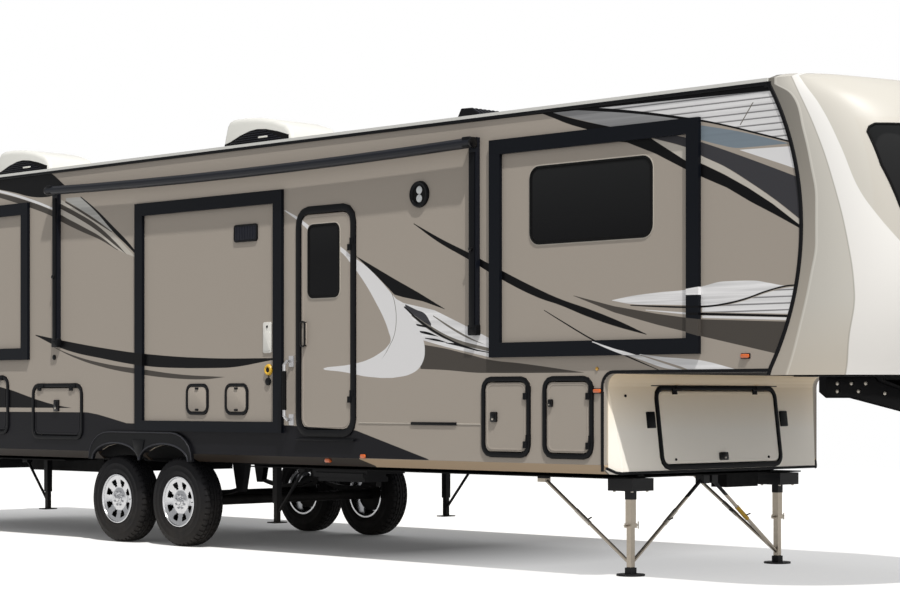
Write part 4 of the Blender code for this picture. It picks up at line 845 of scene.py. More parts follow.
    def sweep(self, points: tuple[Place, ...], section: tuple[Point, ...],
              up: Place = (0.0, 0.0, 1.0)) -> "Shape":
        """Add a bar of a constant section along a path, with closed ends.

        Args:
            points: The path.
            section: Outline of the section, aside and upwards.
            up: Direction that the section's top faces at the start.

        Returns:
            The shape itself.
        """
        places = [Vector(point) for point in points]
        last = len(places) - 1
        ways = []
        for index in range(last + 1):
            ways.append((places[min(index + 1, last)] - places[max(index - 1, 0)]).normalized())
        aside = Vector(up).cross(ways[0]).normalized()
        above = ways[0].cross(aside)
        verts = [self.work.verts.new(places[0] + aside * u + above * v) for u, v in section]
        edges = [self.work.edges.new((vert, verts[(index + 1) % len(verts)]))
                 for index, vert in enumerate(verts)]
        start = list(edges)
        for index in range(1, last + 1):
            made = bmesh.ops.extrude_edge_only(self.work, edges=edges)["geom"]
            verts = [item for item in made if isinstance(item, bmesh.types.BMVert)]
            edges = [item for item in made if isinstance(item, bmesh.types.BMEdge)]
            turn = ways[index - 1].rotation_difference(ways[index]).to_matrix().to_4x4()
            move = Matrix.Translation(places[index]) @ turn @ Matrix.Translation(-places[index - 1])
            bmesh.ops.transform(self.work, matrix=move, verts=verts)
        bmesh.ops.edgeloop_fill(self.work, edges=start)
        bmesh.ops.edgeloop_fill(self.work, edges=edges)
        return self

    def pipe(self, points: tuple[Place, ...], radius: float, sides: int = 10) -> "Shape":
        """Add a round bar along a path.

        Args:
            points: The path.
            radius: Its radius.
            sides: Segments round it.

        Returns:
            The shape itself.
        """
        section = [(u, v) for u, v, _ in arc((0.0, 0.0), (radius, radius), 0.0, math.tau, sides)[:-1]]
        way = (Vector(points[1]) - Vector(points[0])).normalized()
        up = (0.0, 0.0, 1.0) if abs(way.z) < 0.9 else (0.0, 1.0, 0.0)
        return self.sweep(points, tuple(section), up)

    def slab(self, outline: tuple[Point, ...], out: Point, edge: float = 0.0) -> "Shape":
        """Add a flat plate of any outline.

        Args:
            outline: Its corners on the surface.
            out: How far its back and front stand out.
            edge: Radius of the front edge.

        Returns:
            The shape itself.
        """
        before = set(self.work.verts)
        base = self.work.faces.new([self.work.verts.new((a, b, out[0])) for a, b in outline])
        made = bmesh.ops.extrude_face_region(self.work, geom=[base])["geom"]
        raised = [item for item in made if isinstance(item, bmesh.types.BMVert)]
        bmesh.ops.translate(self.work, vec=(0.0, 0.0, out[1] - out[0]), verts=raised)
        if edge:
            self.soften(self.rim(before, out[1]), edge, 2)
        return self

    def moved(self, matrix: Matrix) -> "Shape":
        """Transform everything that has been added so far."""
        bmesh.ops.transform(self.work, matrix=matrix, verts=self.work.verts)
        return self

    def finish(self, name: str, stock: "Stock | bpy.types.Material", body: Body = Body.TRAILER,
               replaces: tuple[str, ...] = (), slot: str = "", angle: float = 32.0) -> bpy.types.Object:
        """Close the shape and hang it on its body.

        Args:
            name: The piece's name.
            stock: Its finish, or a material.
            body: The body that it moves with.
            replaces: CAD nodes that it stands for.
            slot: Not used.
            angle: Edges sharper than this stay sharp.

        Returns:
            The piece.
        """
        self.moved(self.wall.frame())
        bmesh.ops.remove_doubles(self.work, verts=self.work.verts, dist=1e-6)
        bmesh.ops.recalc_face_normals(self.work, faces=self.work.faces)
        mesh = bpy.data.meshes.new(name)
        self.work.to_mesh(mesh)
        self.work.free()
        mesh.shade_smooth()
        mesh.set_sharp_from_angle(angle=math.radians(angle))
        mesh.materials.append(stock.dressed() if isinstance(stock, Stock) else stock)
        item = bpy.data.objects.new(name, mesh)
        bpy.context.scene.collection.objects.link(item)
        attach(item, body.value)
        if replaces:
            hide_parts(*replaces)
        LOG.info("%s: %d faces", name, len(mesh.polygons))
        return item


@dataclass
class Wheel:
    """One wheel: a treaded tyre on an eight-window rim.

    Its profiles are rows of radius and of distance out from the tyre's middle plane.
    """

    body: Body
    station: float
    side: int
    height: float = 0.391
    face: float = 1.2225
    width: float = 0.225
    tread_steps: int = 132
    tread_depth: float = 0.006
    rim_steps: int = 96
    windows: int = 8
    window_reach: Point = (0.112, 0.176)
    narrow_reach: float = 0.134
    plate: float = 0.02
    nut_circle: float = 0.06
    carcass: tuple[Point, ...] = (
        (0.2215, 0.096), (0.232, 0.104), (0.24, 0.1085), (0.262, 0.1115), (0.266, 0.113), (0.272, 0.113),
        (0.276, 0.1115), (0.312, 0.1105), (0.316, 0.112), (0.322, 0.112), (0.326, 0.1095),
        (0.352, 0.1035), (0.368, 0.097), (0.38, 0.088), (0.3875, 0.074), (0.3895, 0.056),
        (0.382, 0.0545), (0.382, 0.0475), (0.39, 0.046), (0.3908, 0.019), (0.3825, 0.018),
        (0.3825, 0.011), (0.3909, 0.01))
    barrel: tuple[Point, ...] = (
        (0.2213, 0.106), (0.2185, 0.1085), (0.212, 0.1085), (0.2085, 0.104), (0.205, 0.092),
        (0.2, 0.078), (0.196, -0.09), (0.206, -0.102), (0.2213, -0.102), (0.2213, 0.106))
    dish: tuple[Point, ...] = (
        (0.04, 0.083), (0.05, 0.0835), (0.078, 0.08), (0.092, 0.076), (0.112, 0.077),
        (0.134, 0.0815), (0.156, 0.087), (0.176, 0.091), (0.188, 0.093), (0.2075, 0.096))
    hub: tuple[Point, ...] = (
        (0.0, 0.112), (0.012, 0.1115), (0.021, 0.109), (0.0265, 0.104), (0.029, 0.096),
        (0.033, 0.093), (0.036, 0.093), (0.041, 0.0885), (0.041, 0.07), (0.0, 0.07))

    def _hang(self, shape: Shape, part: str, stock: Stock, node: str = "", angle: float = 32.0) -> None:
        """Stand a part on the wheel's axle and finish it.

        Args:
            shape: The part, drawn with the axle as its z and the outer side up.
            part: End of the piece's name.
            stock: Its finish.
            node: Start of the name of the CAD node that it stands for, if any.
            angle: Edges sharper than this stay sharp.
        """
        middle = (self.station, self.side * (self.face - self.width / 2), self.height)
        stand = Matrix.Translation(middle) @ Matrix.Rotation(-self.side * math.pi / 2, 4, "X")
        corner = self.body.value.removeprefix("wheel")
        replaces = (node + corner,) if node else ()
        shape.moved(stand).finish(self.body.value + part, stock, self.body, replaces, angle=angle)

    @staticmethod
    def _step_of(place: Vector, steps: int) -> int:
        """Return which of the equal steps round the axle a place lies in."""
        return int(math.atan2(place.y, place.x) / math.tau * steps + steps)

    def tyre(self) -> None:
        """Build the tyre with its grooves, shoulder lugs and sidewall ribs."""
        inner = tuple((radius, -out) for radius, out in reversed(self.carcass))
        shape = Shape().turned(self.carcass + inner + self.carcass[:1], self.tread_steps)
        shape.work.normal_update()
        cuts = []
        for face in shape.work.faces:
            middle = face.calc_center_median()
            reach, out = middle.xy.length, abs(middle.z)
            step = self._step_of(middle, self.tread_steps) % 3
            shoulder = reach > 0.372 and out > 0.06 and step == 0
            crown = reach > 0.3895 and 0.02 < out < 0.046 and step == 1
            if shoulder or crown:
                cuts.append(face)
        bmesh.ops.inset_individual(shape.work, faces=cuts, thickness=0.0022, depth=-self.tread_depth)
        self._hang(shape, "_tyre", Stock.RUBBER, "tyre", 38.0)

    def _cut_windows(self, shape: Shape, before: set) -> None:
        """Cut the windows out of the dished face and give it its thickness.

        Args:
            shape: The rim so far.
            before: The vertices that it had without the dished face.
        """
        share = self.rim_steps // self.windows
        gone, kept = [], []
        for face in shape.work.faces:
            if any(vert in before for vert in face.verts):
                continue
            middle = face.calc_center_median()
            reach = middle.xy.length
            wide = 4 if reach < self.narrow_reach else 6
            first = (share - wide) // 2
            opened = first <= self._step_of(middle, self.rim_steps) % share < first + wide
            inside = self.window_reach[0] < reach < self.window_reach[1]
            (gone if opened and inside else kept).append(face)
        bmesh.ops.delete(shape.work, geom=gone, context="FACES")
        bmesh.ops.recalc_face_normals(shape.work, faces=kept)
        if kept[0].normal.z < 0:
            bmesh.ops.reverse_faces(shape.work, faces=kept)
        bmesh.ops.solidify(shape.work, geom=kept, thickness=self.plate)

    def rim(self) -> None:
        """Build the rim with its hub and nuts, the drum behind it and the valve."""
        shape = Shape().turned(self.barrel, self.rim_steps)
        before = set(shape.work.verts)
        shape.turned(self.dish, self.rim_steps)
        self._cut_windows(shape, before)
        shape.turned(self.hub, 40)
        for index in range(self.windows):
            angle = math.tau * (index + 0.5) / self.windows
            place = (self.nut_circle * math.cos(angle), self.nut_circle * math.sin(angle))
            shape.disc(place, 0.0105, (0.074, 0.0945), edge=0.002, sides=6)
            shape.disc(place, 0.007, (0.092, 0.0985), edge=0.002, sides=12)
        self._hang(shape, "_rim", Stock.ALLOY, "rim", 30.0)
        drum = Shape().disc((0.0, 0.0), 0.15, (0.01, 0.04), edge=0.004, sides=40)
        self._hang(drum, "_brake_cover", Stock.BLACK_STEEL)
        valve = Shape().pipe(((0.18, 0.0, 0.08), (0.182, 0.0, 0.104)), 0.0035, 8)
        self._hang(valve, "_valve", Stock.GASKET)

    def build(self) -> None:
        """Build the whole wheel."""
        self.tyre()
        self.rim()


WHEELS = (
    (Body.WHEEL_RIGHT_FRONT, 0.388, -1),
    (Body.WHEEL_RIGHT_REAR, -0.508, -1),
    (Body.WHEEL_LEFT_FRONT, 0.388, 1),
    (Body.WHEEL_LEFT_REAR, -0.508, 1),
)


@dataclass
class DoorDressing:
    """Frame bead, leaf bead and latch of one hinged door."""

    name: str
    wall: Wall
    body: Body
    a: Point
    b: Point
    latch: Point
    latch_half: Point
    radius: float = 0.05
    trim: float = 0.046
    gap: float = 0.009
    inset: float = 0.022
    dish_out: Point = (0.0045, 0.024)

    def build(self) -> None:
        """Build the beads and the latch: a ring if it is tall, else a paddle."""
        bead = Shape(self.wall).ring(*grown(self.a, self.b, self.gap), (0.007, 0.0145),
                                     self.trim - self.gap - 0.004, self.radius + self.gap, edge=0.0034)
        bead.finish(self.name + "_frame_bead", Stock.BLACK_TRIM)
        edge = Shape(self.wall).ring(*grown(self.a, self.b, -self.inset), (0.004, 0.0072), 0.013,
                                     self.radius - 0.01, edge=0.0012)
        skin = bpy.data.materials["front_door" if self.wall is Wall.FRONT else "side_doors"]
        edge.finish(self.name + "_leaf_bead", skin, self.body, slot="greige_panel")
        if self.latch_half[1] > 0.08:
            self._pull_ring()
        else:
            self._paddle()

    def _pull_ring(self) -> None:
        """Build the entry door's latch: a pull ring in its dish."""
        wide, tall = self.latch_half
        dish = Shape(self.wall).pad(self.latch, (wide + 0.002, tall + 0.002), self.dish_out, 0.02, 0.004)
        dish.finish(self.name + "_latch", Stock.LEAF_BEAD, self.body)
        x, z = self.latch
        hole = (x - wide + 0.003, x + wide - 0.003), (z - tall + 0.004, z + tall - 0.004)
        ring = Shape(self.wall).ring(*hole, (0.0235, 0.038), 0.011, 0.017, edge=0.004)
        ring.finish(self.name + "_pull", Stock.BLACK_GLOSS, self.body)

    def _paddle(self) -> None:
        """Build a hold door's latch: a dish with its paddle and key lock."""
        x, z = self.latch
        wide, tall = self.latch_half
        shape = Shape(self.wall).pad(self.latch, (wide + 0.007, tall + 0.008), self.dish_out, 0.01, 0.004)
        shape.plate((x - wide * 0.66, x + wide * 0.66), (z - tall * 0.55, z + tall * 0.75),
                    (0.023, 0.03), radius=0.006, edge=0.003)
        shape.finish(self.name + "_latch", Stock.BLACK_GLOSS, self.body)
        lock = Shape(self.wall).disc((x, z - tall * 0.55), min(wide, tall) * 0.32, (0.0235, 0.0315),
                                     edge=0.001, sides=20)
        lock.finish(self.name + "_lock", Stock.ZINC, self.body)


DOOR_DRESSINGS = (
    DoorDressing("entry_door", Wall.RIGHT, Body.ENTRY_DOOR, (2.112, 2.7), (1.05, 2.79),
                 (2.152, 1.82), (0.022, 0.1), radius=0.08, trim=0.07),
    DoorDressing("hold_door_right", Wall.RIGHT, Body.HOLD_DOOR_RIGHT, (4.212, 4.626), (0.9, 1.412),
                 (4.302, 1.156), (0.025, 0.03)),
    DoorDressing("utility_door_right", Wall.RIGHT, Body.UTILITY_DOOR, (4.837, 5.244), (0.9, 1.412),
                 (4.877, 1.26), (0.014, 0.02)),
    DoorDressing("hatch_right", Wall.RIGHT, Body.HATCH, (-1.69, -0.972), (0.96, 1.39),
                 (-1.331, 1.23), (0.03, 0.045)),
    DoorDressing("hatch_right_rear", Wall.RIGHT, Body.HATCH_REAR, (-2.884, -2.166), (0.998, 1.47),
                 (-2.525, 1.31), (0.03, 0.045)),
    DoorDressing("hold_door_left", Wall.LEFT, Body.HOLD_DOOR_LEFT, (4.212, 5.1), (0.9, 1.412),
                 (4.656, 1.252), (0.03, 0.045)),
    DoorDressing("hold_door_front", Wall.FRONT, Body.HOLD_DOOR_FRONT, (-0.69, 0.69), (0.81, 1.345),
                 (0.0, 0.855), (0.04, 0.022)),
)


@dataclass
class WindowDressing:
    """Rubber frame and sealant round one pane, with a sliding bar where it opens."""

    name: str
    wall: Wall
    body: Body
    a: Point
    b: Point
    radius: float
    out: float
    slider: bool = True

    def build(self) -> None:
        """Build the frame, its bar and the sealant."""
        shape = Shape(self.wall)
        for inset, front, wide, edge in ((0.014, 0.009, 0.015, 0.004), (0.026, 0.004, 0.012, 0.0015)):
            shape.ring(*grown(self.a, self.b, -inset), (self.out - 0.002, self.out + front), wide,
                       self.radius - inset, edge=edge, steps=6)
        if self.slider:
            middle = self.a[0] + (self.a[1] - self.a[0]) * 0.52
            shape.plate((middle - 0.011, middle + 0.011), (self.b[0] + 0.004, self.b[1] - 0.004),
                        (self.out - 0.001, self.out + 0.0045), edge=0.0015)
        shape.finish(self.name + "_frame", Stock.GASKET, self.body)
        groove = Shape(self.wall).ring(*grown(self.a, self.b, 0.001), (self.out - 0.0015, self.out + 0.003),
                                       0.008, self.radius + 0.001, edge=0.001, steps=6)
        groove.finish(self.name + "_sealant", Stock.PALE_BEAD, self.body)


WINDOW_DRESSINGS = (
    WindowDressing("bedroom_window", Wall.RIGHT, Body.BEDROOM_ROOM, (4.661, 5.838), (2.425, 3.0), 0.09,
                   0.0003, slider=False),
    WindowDressing("entry_window", Wall.RIGHT, Body.ENTRY_DOOR, (2.19, 2.575), (2.11, 2.71), 0.06,
                   0.005, slider=False),
    WindowDressing("dining_window", Wall.LEFT, Body.DINING_ROOM, (-2.5, -0.3), (1.9, 2.7), 0.09,
                   0.0003),
)


@dataclass
class SideFittings:
    """Small things on the entry side, and what its far side shares with it."""

    vent_a: Point = (1.246, 1.552)
    vent_b: Point = (2.612, 2.76)
    louvres: int = 13
    speaker_at: Point = (3.497, 2.875)
    cover_spans: tuple[Point, ...] = ((0.6, 0.89), (1.13, 1.42))
    cover_b: Point = (1.163, 1.414)
    inlet_at: Point = (1.693, 1.532)
    markers: tuple[Point, ...] = ((6.65, 1.58), (5.327, 1.348), (-4.25, 0.96))
    seam_foot: float = 1.452
    seam_steps: int = 40
    grab_at: Point = (1.985, 0.0853)

    @staticmethod
    def _round(name: str, centre: Point, radius: float, out: Point, edge: float, sides: int, stock: Stock,
               body: Body = Body.TRAILER) -> None:
        """Build one round plate on the entry side."""
        Shape(Wall.RIGHT).disc(centre, radius, out, edge, sides).finish(name, stock, body)

    @staticmethod
    def _trim(wall: Wall, part: str, path: list[Place], section: tuple[Point, ...],
              stock: Stock = Stock.BLACK_TRIM) -> None:
        """Build one trim strip on a side wall."""
        Shape(wall).sweep(tuple(path), section).finish(wall.value + part, stock)

    def vent(self) -> None:
        """Build the louvred vent on the living room's panel."""
        a, b, body = self.vent_a, self.vent_b, Body.LIVING_ROOM
        border = Shape(Wall.RIGHT).ring(*grown(a, b, -0.016), (0.0, 0.014), 0.016, 0.008, edge=0.003, steps=2)
        border.finish("vent_frame", Stock.BLACK_TRIM, body)
        back = Shape(Wall.RIGHT).plate(*grown(a, b, -0.01), (0.0, 0.0035), radius=0.004)
        back.finish("vent_back", Stock.GASKET, body)
        shape = Shape(Wall.RIGHT)
        low, high = b[0] + 0.016, b[1] - 0.016
        for index in range(self.louvres):
            x = a[0] + 0.026 + (a[1] - a[0] - 0.052) * index / (self.louvres - 1)
            blade = ((x - 0.008, low), (x + 0.006, low), (x + 0.006, high), (x - 0.008, high))
            shape.slab(blade, (0.003, 0.0125), edge=0.003)
        shape.finish("vent_louvres", Stock.GRILLE, body)

    def speaker(self) -> None:
        """Build the round speaker under the awning."""
        x, z = self.speaker_at
        collar = ((0.072, 0.0), (0.072, 0.012), (0.08, 0.022), (0.092, 0.025), (0.101, 0.019),
                  (0.104, 0.0), (0.072, 0.0))
        Shape(Wall.RIGHT).turned(collar, 56, (x, z)).finish("speaker_ring", Stock.BLACK_TRIM)
        self._round("speaker_back", (x, z), 0.074, (0.0, 0.01), 0.0, 48, Stock.GASKET)
        # Painted highlight: two pale domes make the light figure of eight on the speaker's dark face.
        dome = ((0.0, 0.019), (0.014, 0.0185), (0.026, 0.016), (0.033, 0.009), (0.0, 0.009))
        domes = Shape(Wall.RIGHT)
        for height in (z - 0.032, z + 0.032):
            domes.turned(dome, 32, (x, height))
        domes.finish("speaker_domes", Stock.CLEAR_LENS)

    def covers(self) -> None:
        """Build the two small round-cornered covers with their clips."""
        b, body = self.cover_b, Body.LIVING_ROOM
        for index, a in enumerate(self.cover_spans):
            name = "cover_%d" % index
            ring = Shape(Wall.RIGHT).ring(*grown(a, b, -0.018), (0.0, 0.012), 0.027, 0.046, edge=0.005,
                                          steps=6)
            ring.finish(name + "_ring", Stock.BLACK_TRIM, body)
            lid = Shape(Wall.RIGHT).plate(*grown(a, b, -0.021), (0.0, 0.009), radius=0.048, edge=0.003,
                                          steps=6)
            lid.finish(name + "_lid", Stock.LEAF_BEAD, body)
            clips = Shape(Wall.RIGHT)
            for z in (b[0] + 0.034, b[1] - 0.034):
                clips.pad((sum(a) / 2, z), (0.022, 0.009), (0.008, 0.016), 0.005, 0.002)
            clips.finish(name + "_clips", Stock.BLACK_TRIM, body)

    def ports(self) -> None:
        """Build the power inlet, the water port and the small locks."""
        x, z = self.inlet_at
        body, black = Body.LIVING_ROOM, Stock.BLACK_TRIM
        collar = ((0.02, 0.0), (0.02, 0.014), (0.03, 0.022), (0.04, 0.02), (0.048, 0.008),
                  (0.048, 0.0), (0.02, 0.0))
        Shape(Wall.RIGHT).turned(collar, 32, (x, z)).finish("inlet_ring", Stock.YELLOW, body)
        self._round("inlet_plug", (x, z), 0.024, (0.0, 0.016), 0.003, 24, black, body)
        self._round("inlet_cap", (1.69, 1.435), 0.032, (0.002, 0.016), 0.004, 28, black, body)
        strap = ((x, 1.5, 0.01), (1.704, 1.478, 0.012), (1.694, 1.455, 0.012))
        Shape(Wall.RIGHT).pipe(strap, 0.004, 8).finish("inlet_strap", Stock.GASKET, body)
        port = Shape(Wall.RIGHT).plate((1.625, 1.735), (1.672, 1.93), (0.0, 0.01), 0.018, 0.003)
        port.plate((1.64, 1.72), (1.69, 1.85), (0.009, 0.015), 0.012, 0.003)
        port.finish("water_port", Stock.WHITE_PLASTIC, body)
        self._round("water_port_lock", (1.68, 1.892), 0.011, (0.009, 0.014), 0.002, 20, black, body)
        self._round("key_port", (-1.38, 1.677), 0.024, (0.0, 0.01), 0.003, 24, black)
        self._round("brass_lock", (5.32, 1.507), 0.013, (0.0, 0.008), 0.002, 20, Stock.BRASS)

    def lights(self) -> None:
        """Build the marker lights on both sides and the reflectors beside the step."""
        for wall in (Wall.RIGHT, Wall.LEFT):
            for index, place in enumerate(self.markers):
                name = "%s_marker_%d" % (wall.value, index)
                base = Shape(wall).pad(place, (0.04, 0.019), (0.0, 0.006), 0.008, 0.002)
                base.finish(name + "_base", Stock.BLACK_TRIM)
                lens = Shape(wall).pad(place, (0.034, 0.014), (0.005, 0.02), 0.01, 0.006)
                lens.finish(name + "_lens", Stock.ORANGE_LENS)
        shape = Shape(Wall.RIGHT)
        for place, out in (((2.398, 0.792), -0.012), ((2.848, 0.834), 0.012)):
            shape.pad(place, (0.029, 0.017), (out - 0.03, out), 0.014, 0.006)
        shape.finish("step_reflectors", Stock.ORANGE_LENS)

    def mouldings(self) -> None:
        """Build the belt moulding, the seam trims and the strips at eaves and tail on both sides."""
        corner = [(5.368, 0.77, 0.0), (5.368, 1.34, 0.0)]
        corner += arc((5.47, FRONT_TOP_Z), (0.102, 0.102), math.pi, -math.pi / 2, 6)
        corner.append((seam_x(1.482) - 0.002, 1.482, 0.0))
        seam = []
        for step in range(self.seam_steps + 1):
            z = self.seam_foot + (EAVE_Z - self.seam_foot) * step / self.seam_steps
            seam.append((seam_x(z), z, 0.0))
        eave = [(TAIL_X - 0.008, EAVE_Z, 0.0), (SEAM_END_X, EAVE_Z, 0.0)]
        eave_strip = ((-0.012, 0.0), (0.011, 0.0), (0.011, 0.014), (0.004, 0.015), (-0.008, 0.015),
                      (-0.012, 0.012))
        tail = [(TAIL_X + 0.012, 0.83, 0.0), (TAIL_X + 0.012, 3.388, 0.0)]
        tail_strip = ((-0.012, -0.004), (0.012, -0.004), (0.012, 0.004), (0.006, 0.007), (-0.012, 0.007))
        top = seam_x(EAVE_Z)
        for wall in (Wall.RIGHT, Wall.LEFT):
            belt = Shape(wall).plate((2.8, 4.16), (1.096, 1.104), (0.0, 0.005), edge=0.002)
            belt.finish(wall.value + "_belt_moulding", Stock.PALE_BEAD)
            bar = Shape(wall).plate((3.4, 3.9), (1.088, 1.112), (0.0, 0.01), radius=0.006, edge=0.003)
            bar.finish(wall.value + "_belt_bar", Stock.BLACK_TRIM)
            self._trim(wall, "_corner_trim", corner, strip(0.012, 0.007, 0.007))
            self._trim(wall, "_seam_trim", seam, strip(0.015, 0.009, 0.008))
            bracket = Shape(wall).plate((top - 0.03, top + 0.02), (3.372, 3.412), (0.0, 0.012), 0.006,
                                        0.003)
            bracket.finish(wall.value + "_seam_bracket", Stock.BLACK_TRIM)
            self._trim(wall, "_eave_strip", eave, eave_strip)
            self._trim(wall, "_tail_trim", tail, tail_strip, Stock.PALE_BEAD)

    def entry(self) -> None:
        """Build the foam of the grab handle and the sill under the entry door."""
        x, out = self.grab_at
        foam = ((x, 1.2, out), (x, 1.36, out), (x, 1.52, out))
        Shape(Wall.RIGHT).pipe(foam, 0.0195, 20).finish("grab_handle_foam", Stock.GASKET)
        sill = Shape(Wall.RIGHT).plate((2.06, 2.76), (0.952, 0.972), (0.006, 0.03), 0.004, 0.004)
        sill.finish("entry_sill", Stock.BLACK_TRIM)

    def build(self) -> None:
        """Build them all."""
        self.vent()
        self.speaker()
        self.covers()
        self.ports()
        self.lights()
        self.mouldings()
        self.entry()


@dataclass
class FrontDressing:
    """Edge trim, keepers and studs of the lower front wall."""

    foot: float = 0.752
    half: float = 1.16
    studs: tuple[Point, ...] = ((-1.06, 1.312), (-0.56, 0.84), (0.56, 0.84))

    def build(self) -> None:
        """Build the front wall's trim."""
        section = ((-0.01, -0.003), (0.01, -0.003), (0.01, 0.006), (-0.01, 0.006))
        line = ((-self.half, self.foot, 0.0), (self.half, self.foot, 0.0))
        Shape(Wall.FRONT).sweep(line, section).finish("front_edge_trim", Stock.BLACK_TRIM)
        tips = Shape()
        for side in (-1, 1):
            tips.pipe(((5.462, side * 1.158, 0.754), (5.43, side * 1.205, 0.762),
                       (5.386, side * 1.262, 0.795)), 0.011, 10)
        tips.finish("front_corner_tips", Stock.BLACK_TRIM)
        keepers = Shape(Wall.FRONT)
        for y in (-0.8, 0.8):
            keepers.plate((y - 0.045, y + 0.045), (1.075, 1.195), (0.0, 0.012), 0.008, 0.003)
        keepers.finish("front_door_keepers", Stock.BLACK_TRIM)
        dots = Shape(Wall.FRONT)
        for place in self.studs:
            dots.disc(place, 0.01, (0.004, 0.012), edge=0.002, sides=16)
        dots.finish("front_door_studs", Stock.BLACK_TRIM)


@dataclass
class RoofDressing:
    """The two roof air conditioners' shrouds and grilles, and the roof vent's ribs.

    A conditioner's outlines are rows of distance from its rear end and of height above the deck.
    """

    deck: float = 3.48
    conditioners: tuple[tuple[float, str], ...] = ((0.28, "air_conditioner_front"),
                                                   (-3.45, "air_conditioner_rear"))
    back: float = 0.42
    half: float = 0.29
    side_view: tuple[Point, ...] = (
        (0.0, 0.0), (0.0, 0.13), (0.02, 0.21), (0.055, 0.32), (0.09, 0.358), (0.15, 0.374),
        (0.3, 0.374), (0.5, 0.36), (0.72, 0.322), (0.88, 0.272), (0.945, 0.22), (0.975, 0.13),
        (0.98, 0.0))
    hump: tuple[Point, ...] = (
        (0.035, 0.02), (0.035, 0.15), (0.12, 0.168), (0.26, 0.215), (0.4, 0.246), (0.5, 0.254),
        (0.62, 0.244), (0.78, 0.212), (0.93, 0.17), (0.93, 0.02))
    slats: int = 11
    vent_x: float = 2.9
    vent_rib: tuple[Point, ...] = ((-0.166, 0.05), (-0.063, 0.219), (0.05, 0.214), (0.131, 0.169),
                                   (0.16, 0.05))

    def _upright(self, start: float, side: int) -> Matrix:
        """Return the matrix that stands a side view on the deck, with its z towards a side."""
        return Matrix(((1, 0, 0, start), (0, 0, side, 0), (0, 1, 0, self.deck), (0, 0, 0, 1)))

    def _flank(self, name: str, stand: Matrix) -> None:
        """Build the grille, slats and slot on one side of a conditioner.

        Args:
            name: Start of the pieces' names.
            stand: Matrix that stands the side view in its place.
        """
        half = self.half
        grille = Shape().slab(self.hump, (half - 0.02, half + 0.004), edge=0.002)
        grille.moved(stand).finish(name + "_grille", Stock.GASKET)
        slats = Shape()
        for row in range(self.slats):
            z = 0.03 + 0.0195 * row
            climb = max(0.0, (z - 0.125) / 0.125)
            slats.plate((0.05 + 0.4 * climb, 0.915 - 0.34 * climb ** 0.8), (z, z + 0.008),
                        (half + 0.002, half + 0.01), edge=0.003)
        slats.moved(stand).finish(name + "_slats", Stock.GRILLE)
        slot = Shape().plate((0.52, 0.65), (0.168, 0.184), (half + 0.004, half + 0.013), 0.006, 0.003)
        slot.moved(stand).finish(name + "_slot", Stock.WHITE_PLASTIC)

    def conditioner(self, index: int, x: float, node: str) -> None:
        """Build one air conditioner.

        Args:
            index: Its number, for the pieces' names.
            x: Station that its sizes are counted from.
            node: The CAD node that its shroud stands for.
        """
        start, half = x - self.back, self.half
        shroud = Shape().slab(self.side_view, (-half, half))
        for level in (-half, half):
            rim = [edge for edge in shroud.rim(set(), level) if max(v.co.y for v in edge.verts) > 0.01]
            shroud.soften(rim, 0.045, 4)
        name = "conditioner_%d_" % index
        shroud.moved(self._upright(start, -1)).finish(name + "shroud", Stock.SHROUD, replaces=(node,),
                                                      angle=40.0)
        for side, word in ((-1, "right"), (1, "left")):
            self._flank(name + word, self._upright(start, side))
        base = Shape().plate((x - 0.426, x + 0.566), (-0.297, 0.297), (self.deck - 0.004, self.deck + 0.016),
                             0.03, 0.004)
        base.finish(name + "gasket", Stock.GASKET)

    def vent(self) -> None:
        """Build the roof vent's flange and ribs."""
        flange = Shape().pad((self.vent_x, 0.0), (0.196, 0.176), (self.deck - 0.004, self.deck + 0.04),
                             0.02, 0.005)
        flange.finish("roof_vent_flange", Stock.BLACK_TRIM)
        section = ((-0.007, -0.004), (0.007, -0.004), (0.007, 0.009), (-0.007, 0.009))
        ribs = Shape()
        for index in range(7):
            y = -0.15 + 0.05 * index
            path = tuple((self.vent_x + dx, y, self.deck + dz) for dx, dz in self.vent_rib)
            ribs.sweep(path, section, (0.0, 1.0, 0.0))
        ribs.finish("roof_vent_ribs", Stock.GRILLE)

    def build(self) -> None:
        """Build the roof's details."""
        for index, (x, node) in enumerate(self.conditioners):
            self.conditioner(index, x, node)
        self.vent()


